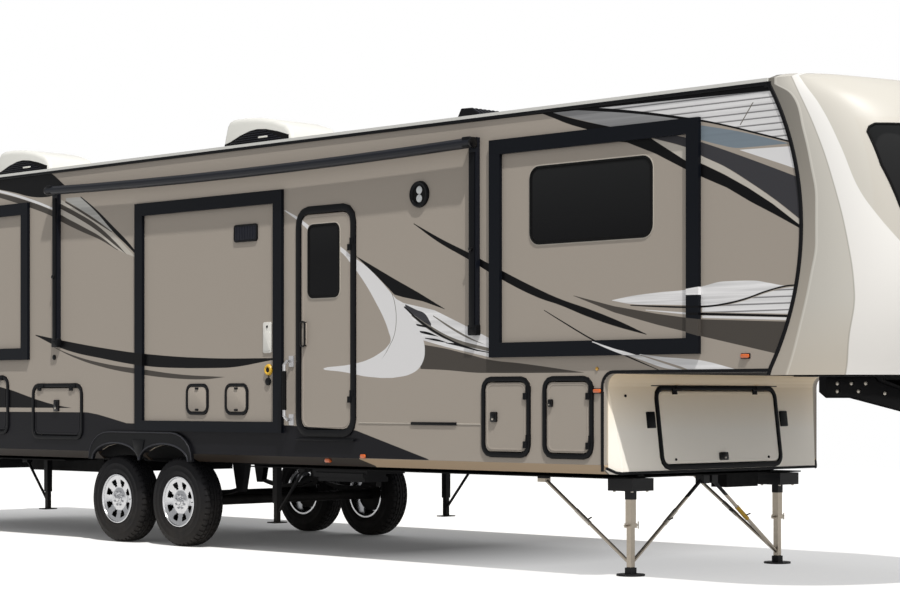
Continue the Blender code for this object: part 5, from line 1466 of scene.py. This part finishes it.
@dataclass
class RearDressing:
    """Lights, plate holder, window frame and ladder details on the rear wall."""

    light_y: float = 1.08
    ladder: Point = (0.8, 1.15)
    treads: int = 8

    def lights(self) -> None:
        """Build the tail lights and the markers above them."""
        rows = (("_base", 0.08, (1.0, 1.34), (0.0, 0.008), 0.03, 0.003, Stock.BLACK_TRIM),
                ("_lens", 0.068, (1.13, 1.328), (0.007, 0.026), 0.026, 0.009, Stock.RED_LENS),
                ("_reverse", 0.068, (1.012, 1.118), (0.007, 0.024), 0.026, 0.009, Stock.CLEAR_LENS),
                ("_marker", 0.045, (3.25, 3.28), (0.0, 0.02), 0.01, 0.006, Stock.RED_LENS))
        for y, word in ((-self.light_y, "right"), (self.light_y, "left")):
            for part, half, span, out, radius, edge, stock in rows:
                light = Shape(Wall.REAR).plate((y - half, y + half), span, out, radius, edge)
                light.finish("tail_light_" + word + part, stock)

    def build(self) -> None:
        """Build the rear fittings."""
        self.lights()
        holder = Shape(Wall.REAR).plate((-0.75, -0.43), (1.02, 1.19), (0.0, 0.004), 0.012, 0.001)
        holder.finish("plate_holder", Stock.BLACK_TRIM)
        lamp = Shape(Wall.REAR).plate((-0.64, -0.54), (1.2, 1.225), (0.0, 0.022), 0.006, 0.004)
        lamp.finish("plate_light", Stock.BLACK_GLOSS)
        WindowDressing("rear_window", Wall.REAR, Body.TRAILER, (-0.65, 0.65), (1.95, 2.65), 0.09,
                       0.0).build()
        caps = Shape()
        for y in (-1.101, 1.101):
            caps.plate((-4.566, -4.474), (y - 0.004, y + 0.004), (0.554, 0.646), edge=0.003)
        caps.finish("bumper_caps", Stock.GASKET)
        feet = Shape(Wall.REAR)
        for y in self.ladder:
            for z in (1.1, 2.3):
                feet.pad((y, z), (0.022, 0.04), (0.0, 0.006), 0.008, 0.002)
        feet.finish("ladder_feet", Stock.LADDER)
        treads = Shape(Wall.REAR)
        for index in range(self.treads):
            z = 1.2 + 0.3 * index
            treads.plate(self.ladder, (z - 0.004, z + 0.0115), (0.0975, 0.1225), 0.003, 0.002)
        treads.finish("ladder_treads", Stock.GASKET)


@dataclass
class Fenders:
    """Raised edges of the twin-arch fenders."""

    middle: float = -0.06
    half: float = 0.7
    lobe: float = 0.348
    base: float = 0.748
    rise: float = 0.151
    corner_x: float = 0.455
    corner: Point = (0.29, 0.23)
    corner_z: float = 0.765

    def build(self) -> None:
        """Build the beads on both sides."""
        low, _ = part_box("fender_right")
        out = abs(low[1]) - HALF_WIDTH
        quarter = math.pi / 2
        for wall in (Wall.RIGHT, Wall.LEFT):
            # The arch beads and fender edge are raised, and their lighter grey is a painted highlight.
            bead = Shape(wall)
            for centre in (self.middle - self.half / 2, self.middle + self.half / 2):
                bead.pipe(tuple(arc((centre, self.base), (self.lobe, self.rise), math.pi, -math.pi, 20, out)),
                          0.007, 8)
            bead.finish(wall.value + "_arch_beads", Stock.EDGE)
            edge = []
            for way, start in ((-1, math.pi), (1, quarter)):
                edge += arc((self.middle + way * self.corner_x, self.corner_z), self.corner, start, -quarter,
                            6, out)
            Shape(wall).pipe(tuple(edge), 0.0055, 8).finish(wall.value + "_fender_edge", Stock.EDGE)
            shield = ((-0.085, 0.93), (0.085, 0.93), (0.06, 0.84), (0.0, 0.77), (-0.06, 0.84))
            boss = Shape(wall).slab(tuple((self.middle + dx, z) for dx, z in shield),
                                    (out - 0.002, out + 0.008), edge=0.004)
            boss.finish(wall.value + "_fender_boss", Stock.BLACK_TRIM)


@dataclass
class RunningGear:
    """Details of legs, braces, awning and pin box."""

    leg_x: float = LEG_X
    leg_y: float = 0.884
    brace_z: Point = (0.085, 0.693)
    arms: Point = (-1.32, 4.105)
    caps: Point = (-1.3715, 4.1515)
    gusset: tuple[Point, ...] = ((6.52, 1.44), (6.52, 1.345), (6.58, 1.312), (6.75, 1.312), (7.16, 1.215),
                                 (7.6, 1.215), (7.52, 1.245), (7.34, 1.29), (6.96, 1.41), (6.93, 1.44))
    gusset_bolts: tuple[Point, ...] = ((6.62, 1.4), (6.74, 1.4), (6.86, 1.4), (6.62, 1.345),
                                       (6.8, 1.345), (7.02, 1.33), (7.2, 1.25), (7.36, 1.235))

    def _braces(self, label: str, side: int) -> None:
        """Build the sleeves and knobs of one leg's two braces; the left cross brace has a yellow sleeve.

        Args:
            label: Start of the pieces' names.
            side: -1 for the right leg and 1 for the left one.
        """
        y = side * self.leg_y
        low = Vector((self.leg_x, y, self.brace_z[0]))
        rows = ((Vector((self.leg_x - 0.86, y, self.brace_z[1])), Vector((0.0, side * -0.055, 0.02))),
                (Vector((self.leg_x, side * 0.05, self.brace_z[1])), Vector((0.055, 0.0, 0.02))))
        for index, (high, reach) in enumerate(rows):
            sleeve = Shape().pipe((tuple(low.lerp(high, 0.46)), tuple(low.lerp(high, 0.62))), 0.0175, 14)
            sleeve.finish("%s_brace_sleeve_%d" % (label, index),
                          Stock.YELLOW if index and side > 0 else Stock.ZINC)
            foot = low.lerp(high, 0.5)
            knob = Shape().pipe((tuple(foot), tuple(foot + reach)), 0.0055, 10)
            knob.finish("%s_brace_knob_%d" % (label, index), Stock.BLACK_STEEL)

    def legs(self) -> None:
        """Build the legs' pins, brace sleeves and knobs, and bolts."""
        x = self.leg_x
        for side, label in ((-1, "leg_right"), (1, "leg_left")):
            y = side * self.leg_y
            pin = Shape().pipe(((x, y - 0.075, 0.367), (x, y + 0.085, 0.367)), 0.006, 10)
            pin.pipe(((x, y + 0.085, 0.34), (x, y + 0.085, 0.394)), 0.005, 10)
            pin.finish(label + "_pin", Stock.ZINC)
            self._braces(label, side)
            bolts = Shape()
            for dx, dy in ((-0.085, -0.085), (-0.085, 0.085), (0.085, -0.085), (0.085, 0.085)):
                bolts.disc((x + dx, y + dy), 0.01, (0.6125, 0.621), sides=6)
            bolts.finish(label + "_bolts", Stock.ZINC)

    def awning(self) -> None:
        """Build the awning's arm channels with their feet and heads, the knobs and the end caps."""
        for index, x in enumerate(self.arms):
            name = "awning_arm_%d" % index
            shape = Shape(Wall.RIGHT)
            for half, span, out, radius, edge in (
                    (0.026, (1.83, 3.15), (0.0385, 0.052), 0.004, 0.004),
                    (0.046, (1.77, 1.85), (0.0, 0.048), 0.01, 0.006),
                    (0.043, (3.18, 3.262), (0.03, 0.12), 0.012, 0.01)):
                shape.plate((x - half, x + half), span, out, radius, edge)
            shape.finish(name, Stock.BLACK_TRIM)
            knob = Shape(Wall.RIGHT).disc((x, 2.42), 0.017, (0.05, 0.072), edge=0.004, sides=20)
            knob.finish(name + "_knob", Stock.BLACK_GLOSS)
        for index, (x, way) in enumerate(zip(self.caps, (-1, 1))):
            turn = Matrix(((0, 0, way, x), (1, 0, 0, -1.3675), (0, 1, 0, 3.217), (0, 0, 0, 1)))
            cap = Shape().disc((0.0, 0.0), 0.0405, (-0.01, 0.006), edge=0.003, sides=32)
            cap.moved(turn).finish("awning_cap_%d" % index, Stock.BLACK_GLOSS)

    def pin_box(self) -> None:
        """Build the pin box's gussets, bolts and wear plate."""
        for side in (-1, 1):
            turn = Matrix(((1, 0, 0, 0), (0, 0, side, side * 0.17), (0, 1, 0, 0), (0, 0, 0, 1)))
            gusset = Shape().slab(self.gusset, (-0.002, 0.01), edge=0.003)
            gusset.moved(turn).finish("pin_box_gusset_%d" % (side + 1), Stock.BLACK_STEEL)
            bolts = Shape()
            for place in self.gusset_bolts:
                bolts.disc(place, 0.014, (0.008, 0.02), edge=0.002, sides=6)
            bolts.moved(turn).finish("pin_box_bolts_%d" % (side + 1), Stock.ZINC)
        plate = Shape().disc((7.49, 0.0), 0.11, (1.1795, 1.185), sides=48)
        plate.finish("pin_wear_plate", Stock.BLACK_STEEL)

    def build(self) -> None:
        """Build them all."""
        self.legs()
        self.awning()
        self.pin_box()


@dataclass
class NoseCap:
    """The moulded nose with its dark window."""

    columns: int = 72
    levels: int = 56
    squareness: float = 2.3
    lip: float = 0.03
    clear: float = 0.0003
    taper_z: Point = (3.44, 3.464)
    taper: float = 0.0702
    rows: tuple[Point, ...] = ((1.45, 7.8), (1.47, 7.81), (1.64, 7.88), (1.85, 7.955),
                               (2.1, 8.01), (2.4, 8.03), (2.7, 8.005), (2.95, 7.94),
                               (3.15, 7.835), (3.29, 7.71), (3.38, 7.57), (3.4, 7.53),
                               (3.44, 7.41), (3.464, 7.25))
    window: tuple[Point, ...] = ((0.87, 2.08), (0.925, 2.12), (1.045, 2.55), (1.105, 2.81),
                                 (1.125, 3.035), (1.11, 3.065), (1.08, 3.085))

    def nose_x(self, z: float) -> float:
        """Return the station of the nose's tip at a height, smoothly between the rows.

        Args:
            z: Height.

        Returns:
            The station.
        """
        rows = self.rows
        index = max(i for i in range(len(rows) - 1) if rows[i][0] <= z + 1e-9)
        span = rows[index + 1][0] - rows[index][0]
        share = min((z - rows[index][0]) / span, 1.0)
        slopes = []
        for place in (index, index + 1):
            low, high = max(place - 1, 0), min(place + 1, len(rows) - 1)
            slopes.append((rows[high][1] - rows[low][1]) / (rows[high][0] - rows[low][0]) * span)
        square, cube = share * share, share ** 3
        return ((2 * cube - 3 * square + 1) * rows[index][1] + (cube - 2 * square + share) * slopes[0]
                + (3 * square - 2 * cube) * rows[index + 1][1] + (cube - square) * slopes[1])

    def point(self, around: float, z: float) -> Vector:
        """Return a point of the outer surface.

        Args:
            around: From 0 at the right seam to 1 at the left one.
            z: Height.

        Returns:
            The point, in stations.
        """
        start = seam_x(z) + self.clear
        reach = self.nose_x(z) - start - self.lip
        low, high = self.taper_z
        share = 1.0 - self.taper * max(0.0, (z - low) / (high - low))
        if around <= 0.0 or around >= 1.0:
            return Vector((start, math.copysign(HALF_WIDTH * share, around - 0.5), z))
        angle = math.pi * (around * 1.02 - 0.01) - math.pi / 2
        angle = max(-math.pi / 2, min(math.pi / 2, angle))
        power = 2 / self.squareness
        ahead = max(math.cos(angle), 0.0) ** power
        aside = math.copysign(abs(math.sin(angle)) ** power, math.sin(angle))
        return Vector((start + self.lip + reach * ahead, HALF_WIDTH * share * aside, z))

    def _inside(self, y: float, z: float) -> bool:
        """Say whether a place lies within the window, seen from the front.

        Args:
            y: Distance from the centre plane.
            z: Height.

        Returns:
            Whether it does.
        """
        y = abs(y)
        for (y0, z0), (y1, z1) in zip(self.window, self.window[1:]):
            if (y1 - y0) * (z - z0) - (z1 - z0) * (y - y0) < 0:
                return False
        return self.window[0][1] < z < self.window[-1][1]

    def _skin(self) -> Shape:
        """Return the outer surface, cut along the window's edges.

        Returns:
            The surface, without thickness.
        """
        shape = Shape()
        work = shape.work
        bmesh.ops.create_grid(work, x_segments=self.columns, y_segments=self.levels, size=0.5)
        low, high = self.rows[0][0], self.rows[-1][0]
        for vert in work.verts:
            rise = (vert.co.y + 0.5) ** 0.85
            vert.co = self.point(round(vert.co.x + 0.5, 6), low + (high - low) * rise)
        corners = self.window
        for side in (-1, 1):
            for (y0, z0), (y1, z1) in zip(corners, corners[1:]):
                near = [f for f in work.faces if f.calc_center_median().y * side > 0.55 and
                        z0 - 0.12 < f.calc_center_median().z < z1 + 0.12]
                geom = list({e for f in near for e in f.edges} | {v for f in near for v in f.verts}) + near
                bmesh.ops.bisect_plane(work, geom=geom, dist=1e-5, plane_co=(0.0, side * y0, z0),
                                       plane_no=(0.0, side * (z1 - z0), -(y1 - y0)))
        for z in (corners[0][1], corners[-1][1]):
            bmesh.ops.bisect_plane(work, geom=list(work.verts) + list(work.edges) + list(work.faces),
                                   dist=1e-5, plane_co=(0.0, 0.0, z), plane_no=(0.0, 0.0, 1.0))
        return shape

    def _close_top(self, work: bmesh.types.BMesh) -> None:
        """Close the shell's open top with one face.

        Args:
            work: The shell's mesh.
        """
        level = self.rows[-1][0] - 1e-4
        top = [e for e in work.edges if e.is_boundary and min(v.co.z for v in e.verts) > level]
        ends = [v for e in top for v in e.verts if sum(other in top for other in v.link_edges) == 1]
        top.append(work.edges.new(ends[:2]))
        bmesh.ops.edgeloop_fill(work, edges=top)

    def _part(self, is_glass: bool, thick: float) -> Shape:
        """Return the window's glass, or the shell round it.

        Args:
            is_glass: Which of the two.
            thick: Its thickness.

        Returns:
            The part.
        """
        shape = self._skin()
        work = shape.work
        gone = []
        for face in work.faces:
            middle = face.calc_center_median()
            if self._inside(middle.y, middle.z) != is_glass:
                gone.append(face)
        bmesh.ops.delete(work, geom=gone, context="FACES")
        if not is_glass:
            self._close_top(work)
        bmesh.ops.recalc_face_normals(work, faces=work.faces)
        work.normal_update()
        ahead = max(work.faces, key=lambda face: face.calc_center_median().x)
        if ahead.normal.x < 0:
            bmesh.ops.reverse_faces(work, faces=work.faces)
        bmesh.ops.solidify(work, geom=list(work.faces), thickness=thick)
        return shape

    def build(self, skin: bpy.types.Material) -> None:
        """Build the shell, the glass and its seal.

        Args:
            skin: The moulding's finish.
        """
        shell = self._part(False, 0.024)
        shell.finish("nose_shell", skin, replaces=("front_cap",), slot="cap_gelcoat", angle=40.0)
        glass = self._part(True, 0.01)
        glass.finish("nose_glass", Stock.GLASS, replaces=("cap_window",), angle=40.0)
        self._seal()

    def _seal(self) -> None:
        """Build the seal round the window."""
        right = [(-y, z) for y, z in self.window]
        loop = right + [(-y, z) for y, z in reversed(right)]
        path = []
        for (y0, z0), (y1, z1) in zip(loop, loop[1:] + loop[:1]):
            steps = max(2, int(math.hypot(y1 - y0, z1 - z0) / 0.05))
            for step in range(steps):
                y, z = y0 + (y1 - y0) * step / steps, z0 + (z1 - z0) * step / steps
                path.append(tuple(self._on_surface(y, z)))
        path.append(path[0])
        Shape().pipe(tuple(path), 0.009, 8).finish("nose_glass_seal", Stock.GASKET)

    def _on_surface(self, y: float, z: float) -> Vector:
        """Return the surface's point at a side and a height, found by halving.

        Args:
            y: Distance to the left of the centre plane.
            z: Height.

        Returns:
            The point, in stations.
        """
        low, high = 0.0, 1.0
        for _ in range(40):
            middle = (low + high) / 2
            if self.point(middle, z).y < y:
                low = middle
            else:
                high = middle
        return self.point((low + high) / 2, z)


class CapPaint:
    """The nose's gelcoat with its bands, partly painted shade, painted highlight and painted reflection."""

    def __init__(self) -> None:
        """Build the finish."""
        graph = Graph("nose_gelcoat")
        self.material = graph.material
        x, z = graph.place("X"), graph.place("Z")
        soft = 0.004
        beige = graph.shaded(linear(192, 189, 182), 0.97 + 0.06 * graph.noise(1.1, 3.0))
        fall = z.below(1.95, 0.5)
        beige = graph.mix(fall * 0.55, beige, linear(190, 179, 163))
        # The side band next to the seam is partly its own darker colour and partly painted shade of the
        # nose's side, and it is painted paler low down as a painted reflection.
        taupe_right = graph.curve(z, ((1.4, 6.95), (1.46, 6.98), (1.81, 7.1), (2.11, 7.18), (2.33, 7.22),
                                      (2.6, 7.22), (2.83, 7.18), (3.06, 7.12), (3.3, 7.03), (3.39, 6.89)))
        taupe_and_shade = graph.mix(z.above(1.6, 1.8), linear(170, 163, 153), linear(122, 119, 113))
        white_left = graph.curve(z, ((1.4, 7.34), (1.45, 7.36), (1.68, 7.41), (2.0, 7.47), (2.32, 7.44),
                                     (2.72, 7.34), (3.06, 7.21), (3.38, 7.04), (3.48, 6.98)))
        white_right = graph.curve(z, ((1.4, 8.2), (1.86, 7.99), (1.93, 7.95), (2.05, 7.88), (2.18, 7.8),
                                      (2.33, 7.71), (2.47, 7.62), (2.65, 7.51), (2.95, 7.38), (3.22, 7.23),
                                      (3.37, 7.11), (3.48, 7.02)))
        white = graph.mix(z.above(1.6, 1.2), linear(224, 222, 219), linear(226, 225, 223))
        colour = graph.mix(x.below(taupe_right, soft), beige, taupe_and_shade)
        colour = graph.mix(x.above(white_left, soft) * x.below(white_right, soft), colour, white)
        # Painted highlight along the crease just ahead of the side band.
        ridge_highlight = abs(x - taupe_right - 0.012).below(0.008, 0.006)
        colour = graph.mix(ridge_highlight * 0.5, colour, linear(216, 213, 206))
        # Painted shade: a dark line along the crease at the white band's left edge.
        line = abs(x - white_left).below(0.006, 0.003)
        colour = graph.mix(line * 0.35, colour, linear(120, 114, 104))
        side = abs(graph.place("Y"))
        brow = side.below(1.16, 0.01) * z.above(2.02, 0.01) * z.below(3.14, 0.01)
        brow = brow * x.above(white_right, soft)
        colour = graph.mix(brow * 0.25, colour, linear(188, 182, 172))
        graph.surface(Base_Color=colour, Roughness=0.36 + 0.06 * graph.noise(3.0, 3.0),
                      Specular_IOR_Level=0.25)
        graph.bump(graph.noise(70.0, 2.0), 0.0006, 0.12)


class FrontPaint:
    """The lower front wall and its door, partly painted bounce light, warmer low down under the nose, with
    painted shade where it is set back and black trim standing out.
    """

    def __init__(self, name: str, trim_from: float) -> None:
        """Build the finish.

        Args:
            name: The material's name.
            trim_from: How far out of the wall's plane the black starts.
        """
        graph = Graph(name)
        self.material = graph.material
        x, y, z = graph.place("X"), graph.place("Y"), graph.place("Z")
        sine, cosine = math.sin(FRONT_LEAN), math.cos(FRONT_LEAN)
        out = (x - FRONT_X) * cosine + (z - FRONT_TOP_Z) * sine
        # The pale colour is partly the wall's paint and partly painted bounce light, as the wall lies in the
        # nose's shade; it is warmer low down.
        warm = graph.mix(z.above(1.05, 0.4), linear(246, 241, 232), linear(244, 225, 196))
        colour = graph.shaded(warm, 0.975 + 0.05 * graph.noise(1.3, 3.0))
        trim = out.above(trim_from, 0.0005) * z.below(1.393, 0.002) * abs(y).below(0.76, 0.002)
        colour = graph.mix(trim, colour, linear(12, 12, 15))
        # Painted shade: what lies more than 3 cm behind the front wall's top edge, in its recesses, is
        # darkened.
        recess_shade = x.below(FRONT_X - 0.03, 0.002)
        colour = graph.mix(recess_shade, colour, linear(120, 112, 100))
        graph.surface(Base_Color=colour, Roughness=0.36 + 0.08 * trim, Specular_IOR_Level=0.12)
        graph.bump(graph.noise(240.0, 1.0), 0.0004, 0.2)


class LegPaint:
    """The front legs: zinc tubes under a black gearbox and over a dark foot."""

    def __init__(self) -> None:
        """Build the finish."""
        graph = Graph("leg_steel")
        self.material = graph.material
        x, z = graph.place("X"), graph.place("Z")
        near = abs(x - LEG_X).below(0.125, 0.002)
        black = (near * z.above(0.556, 0.001)).most(z.below(0.064, 0.001) * near).most(z.above(0.69, 0.001))
        metal = graph.shaded(linear(176, 166, 152), 0.88 + 0.24 * graph.noise(24.0, 4.0))
        colour = graph.mix(black, metal, linear(22, 22, 24))
        graph.surface(Base_Color=colour, Roughness=0.34 + 0.2 * black, Metallic=0.8 - 0.6 * black,
                      Specular_IOR_Level=0.3)
        graph.bump(graph.noise(180.0, 2.0), 0.0004, 0.3)


class RearPaint:
    """The rear wall, in the panel's colour with its dark lower band."""

    def __init__(self) -> None:
        """Build the finish."""
        graph = Graph("rear_panel")
        self.material = graph.material
        z = graph.place("Z")
        base = graph.shaded(Tint.GREIGE.value, 0.98 + 0.04 * graph.noise(0.8, 3.0))
        colour = graph.mix(z.below(0.96, 0.002), base, Tint.BAND.value)
        line = abs(z - 0.985).below(0.006, 0.001)
        colour = graph.mix(line, colour, Tint.PALE.value)
        graph.surface(Base_Color=colour, Roughness=0.34 + 0.06 * graph.noise(4.0, 2.0),
                      Specular_IOR_Level=0.3)
        graph.bump(graph.noise(260.0, 1.0), 0.0004, 0.25)


PLAIN_NODES = {
    Stock.BLACK_STEEL: ("axle_front", "axle_rear", "chassis_frame", "entry_step", "pin_box",
                        "suspension_left", "suspension_right", "stabilizer_left_front",
                        "stabilizer_left_rear", "stabilizer_right_front", "stabilizer_right_rear"),
    Stock.BLACK_TRIM: ("fender_left", "fender_right", "roof_vent"),
    Stock.AWNING: ("awning",),
    Stock.GLASS: ("bedroom_window", "dining_window", "entry_window", "rear_window"),
    Stock.MEMBRANE: ("roof",),
    Stock.BELLY: ("floor", "hold_floor", "nose_deck", "underbelly"),
    Stock.LADDER: ("grab_handle", "ladder"),
}


class Livery:
    """The painted side panels with their long graphics, and the skirt's painted shade and ground reflection.
    """

    def __init__(self, name: str, trim_from: float | None = None, only_frames: bool = False,
                 base: Colour = Tint.GREIGE.value) -> None:
        """Build the finish.

        Args:
            name: The material's name.
            trim_from: Distance from the centre plane past which the surface is black trim.
            only_frames: Whether only the graphics that run over slide frames show.
            base: Colour of the bare panel.
        """
        graph = Graph(name)
        self.material = graph.material
        station, height = graph.place("X"), graph.place("Z")
        colour = graph.shaded(base, 0.985 + 0.03 * graph.noise(0.7, 3.0))
        streaks = graph.noise(9.0, 3.0, (0.12, 1.0, 5.0))
        for stroke in STROKES:
            if only_frames and not stroke.on_frames:
                continue
            along, across = (height, station) if stroke.upright else (station, height)
            under = across.below(graph.curve(along, stroke.upper, stroke.straight))
            mask = under * across.above(graph.curve(along, stroke.lower, stroke.straight))
            low, high = stroke.upper[0][0], stroke.upper[-1][0]
            mask = mask * along.above(low) * along.below(high)
            tint: Paint = stroke.tint.value
            if stroke.streaks:
                tint = graph.shaded(tint, (1 - stroke.streaks) + 2 * stroke.streaks * streaks)
            if stroke.ribs:
                rib = graph.maths("FRACT", (height - 0.009) / stroke.ribs).below(0.28, 0.14)
                tint = graph.mix(rib * 0.75, tint, Tint.CHARCOAL.value)
            colour = graph.mix(mask, colour, tint)
        roughness: Value | float = 0.32
        if trim_from is not None:
            trim = abs(graph.place("Y")).above(trim_from, 0.0005)
            colour = graph.mix(trim, colour, linear(11, 12, 15))
            roughness = 0.36 + 0.1 * trim
        inside = abs(graph.place("Y")).below(HALF_WIDTH - 0.035, 0.001) * height.above(0.83, 0.002)
        colour = graph.mix(inside, colour, linear(186, 176, 160))
        graph.surface(Base_Color=colour, Roughness=roughness, Specular_IOR_Level=0.1)
        graph.bump(graph.noise(260.0, 1.0), 0.0004, 0.25)


@dataclass(frozen=True)
class Sun:
    """A distant lamp: its strength, its width in degrees, its tint and the way to it."""

    name: str
    energy: float
    width: float
    tint: Colour
    way: Place

    def build(self) -> None:
        """Put the lamp in the scene."""
        data = bpy.data.lights.new(self.name, "SUN")
        data.energy = self.energy
        data.angle = math.radians(self.width)
        data.color = self.tint
        item = bpy.data.objects.new(self.name, data)
        item.rotation_euler = Vector(self.way).to_track_quat("Z", "Y").to_euler()
        bpy.context.scene.collection.objects.link(item)


@dataclass
class Studio:
    """Floor, camera and lights."""

    lens: float = 89.195
    shift: float = 0.1101
    place: Place = (14.1762, -13.3027, 1.28954)
    heading: float = 0.7872898
    floor_radius: float = 60.0
    sky_strength: float = 0.5
    suns: tuple[Sun, ...] = (Sun("key", 3.4, 1.3, (1.0, 0.975, 0.93), (2.2, -1.2, 4.3)),
                             Sun("fill", 0.9, 70.0, (1.0, 0.98, 0.95), (1.0, -0.25, 0.12)))

    def camera(self) -> None:
        """Set the camera at the photograph's viewpoint."""
        data = bpy.data.cameras.new("camera")
        data.lens = self.lens
        data.sensor_width = 36.0
        data.shift_y = self.shift
        data.clip_end = 300.0
        item = bpy.data.objects.new("camera", data)
        item.location = self.place
        item.rotation_euler = (math.pi / 2, 0.0, self.heading)
        bpy.context.scene.collection.objects.link(item)
        bpy.context.scene.camera = item

    def floor(self) -> None:
        """Lay a pale floor that ends in the white background, with painted light that makes the shadow paler
        towards the front and the rear.
        """
        work = bmesh.new()
        bmesh.ops.create_circle(work, cap_ends=True, segments=96, radius=self.floor_radius)
        mesh = bpy.data.meshes.new("floor")
        work.to_mesh(mesh)
        work.free()
        item = bpy.data.objects.new("studio_floor", mesh)
        bpy.context.scene.collection.objects.link(item)
        graph = Graph("studio_floor")
        graph.surface(Base_Color=(0.42, 0.42, 0.42), Roughness=0.9, Specular_IOR_Level=0.1)
        x, y = graph.place("X"), graph.place("Y")
        far = ((x * x + y * y) ** 0.5).above(9.0, 14.0)
        glow = graph.node("ShaderNodeEmission", None, {"Color": (1.0, 1.0, 1.0), "Strength": 1.0})
        pale = graph.node("ShaderNodeBsdfDiffuse", None, {"Color": (0.9, 0.9, 0.9)})
        path = graph.node("ShaderNodeLightPath")
        seen = graph.maths("MAXIMUM", path.outputs["Is Camera Ray"], path.outputs["Is Glossy Ray"])
        # Painted floor light: for the camera the floor glows more ahead of station 2.2 and behind station
        # -4.2, so the trailer's shadow is painted paler there than under the axles.
        painted_floor_light = 0.04 + 0.46 * x.above(2.2, 2.0) + 0.22 * x.below(-4.2, 1.6)
        near = graph.node("ShaderNodeMixShader", None, {0: painted_floor_light.most(far), 1: pale.outputs[0],
                                                        2: glow.outputs[0]})
        blend = graph.node("ShaderNodeMixShader", None, {0: seen, 1: graph.shader.outputs[0],
                                                         2: near.outputs[0]})
        graph.feed(graph.tree.nodes["Material Output"], {0: blend.outputs[0]})
        mesh.materials.append(graph.material)

    def lights(self) -> None:
        """Set the suns and a plain sky that the camera sees as white."""
        for sun in self.suns:
            sun.build()
        world = bpy.data.worlds.new("sky")
        bpy.context.scene.world = world
        world.use_nodes = True
        sky = Tree(world.node_tree)
        path = sky.node("ShaderNodeLightPath")
        seen = sky.maths("MAXIMUM", path.outputs["Is Camera Ray"], path.outputs["Is Transmission Ray"])
        level = sky.node("ShaderNodeMapRange", None,
                         {"Value": seen, "To Min": self.sky_strength, "To Max": 1.0})
        sky.feed(sky.tree.nodes["Background"], {"Color": (1.0, 1.0, 1.0), "Strength": level.outputs[0]})

    def build(self) -> None:
        """Make the whole studio."""
        self.camera()
        self.floor()
        self.lights()
        bpy.context.scene.view_settings.view_transform = "Standard"


def paint(material: bpy.types.Material, *names: str) -> None:
    """Give carried-over solids their finish.

    Args:
        material: The finish.
        names: The CAD nodes.
    """
    for name in names:
        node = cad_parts[name]
        if node.material_slots:
            node.material_slots[0].material = material
        else:
            node.data.materials.append(material)


def paint_solids() -> None:
    """Give every carried-over solid its finish."""
    rooms = ("rear", "living", "bedroom", "dining")
    paint(Livery("side_panels", trim_from=HALF_WIDTH + WALL_SKIN).material, "wall_right", "wall_left")
    paint(Livery("side_doors", trim_from=HALF_WIDTH + LEAF_SKIN).material, "entry_door", "hold_door_right",
          "utility_door_right", "hatch_right", "hatch_right_rear", "hold_door_left")
    paint(Livery("slide_rooms").material, *("slide_" + room for room in rooms))
    paint(Livery("slide_frames", only_frames=True, base=linear(14, 17, 23)).material,
          *("slide_frame_" + room for room in rooms))
    paint(FrontPaint("front_panel", WALL_SKIN).material, "wall_front")
    paint(FrontPaint("front_door", LEAF_SKIN).material, "hold_door_front")
    paint(RearPaint().material, "wall_rear")
    paint(LegPaint().material, "landing_leg_left", "landing_leg_right")
    for stock, names in PLAIN_NODES.items():
        paint(stock.dressed(), *names)


def main() -> None:
    """Build the scene."""
    logging.basicConfig(level=logging.INFO, format="%(message)s")
    Studio().build()
    paint_solids()
    NoseCap().build(CapPaint().material)
    for body, station, side in WHEELS:
        Wheel(body, station, side).build()
    for dressing in DOOR_DRESSINGS + WINDOW_DRESSINGS:
        dressing.build()
    for fittings in (SideFittings(), FrontDressing(), RoofDressing(), RearDressing(), RunningGear(),
                     Fenders()):
        fittings.build()


if __name__ == "__main__":
    main()
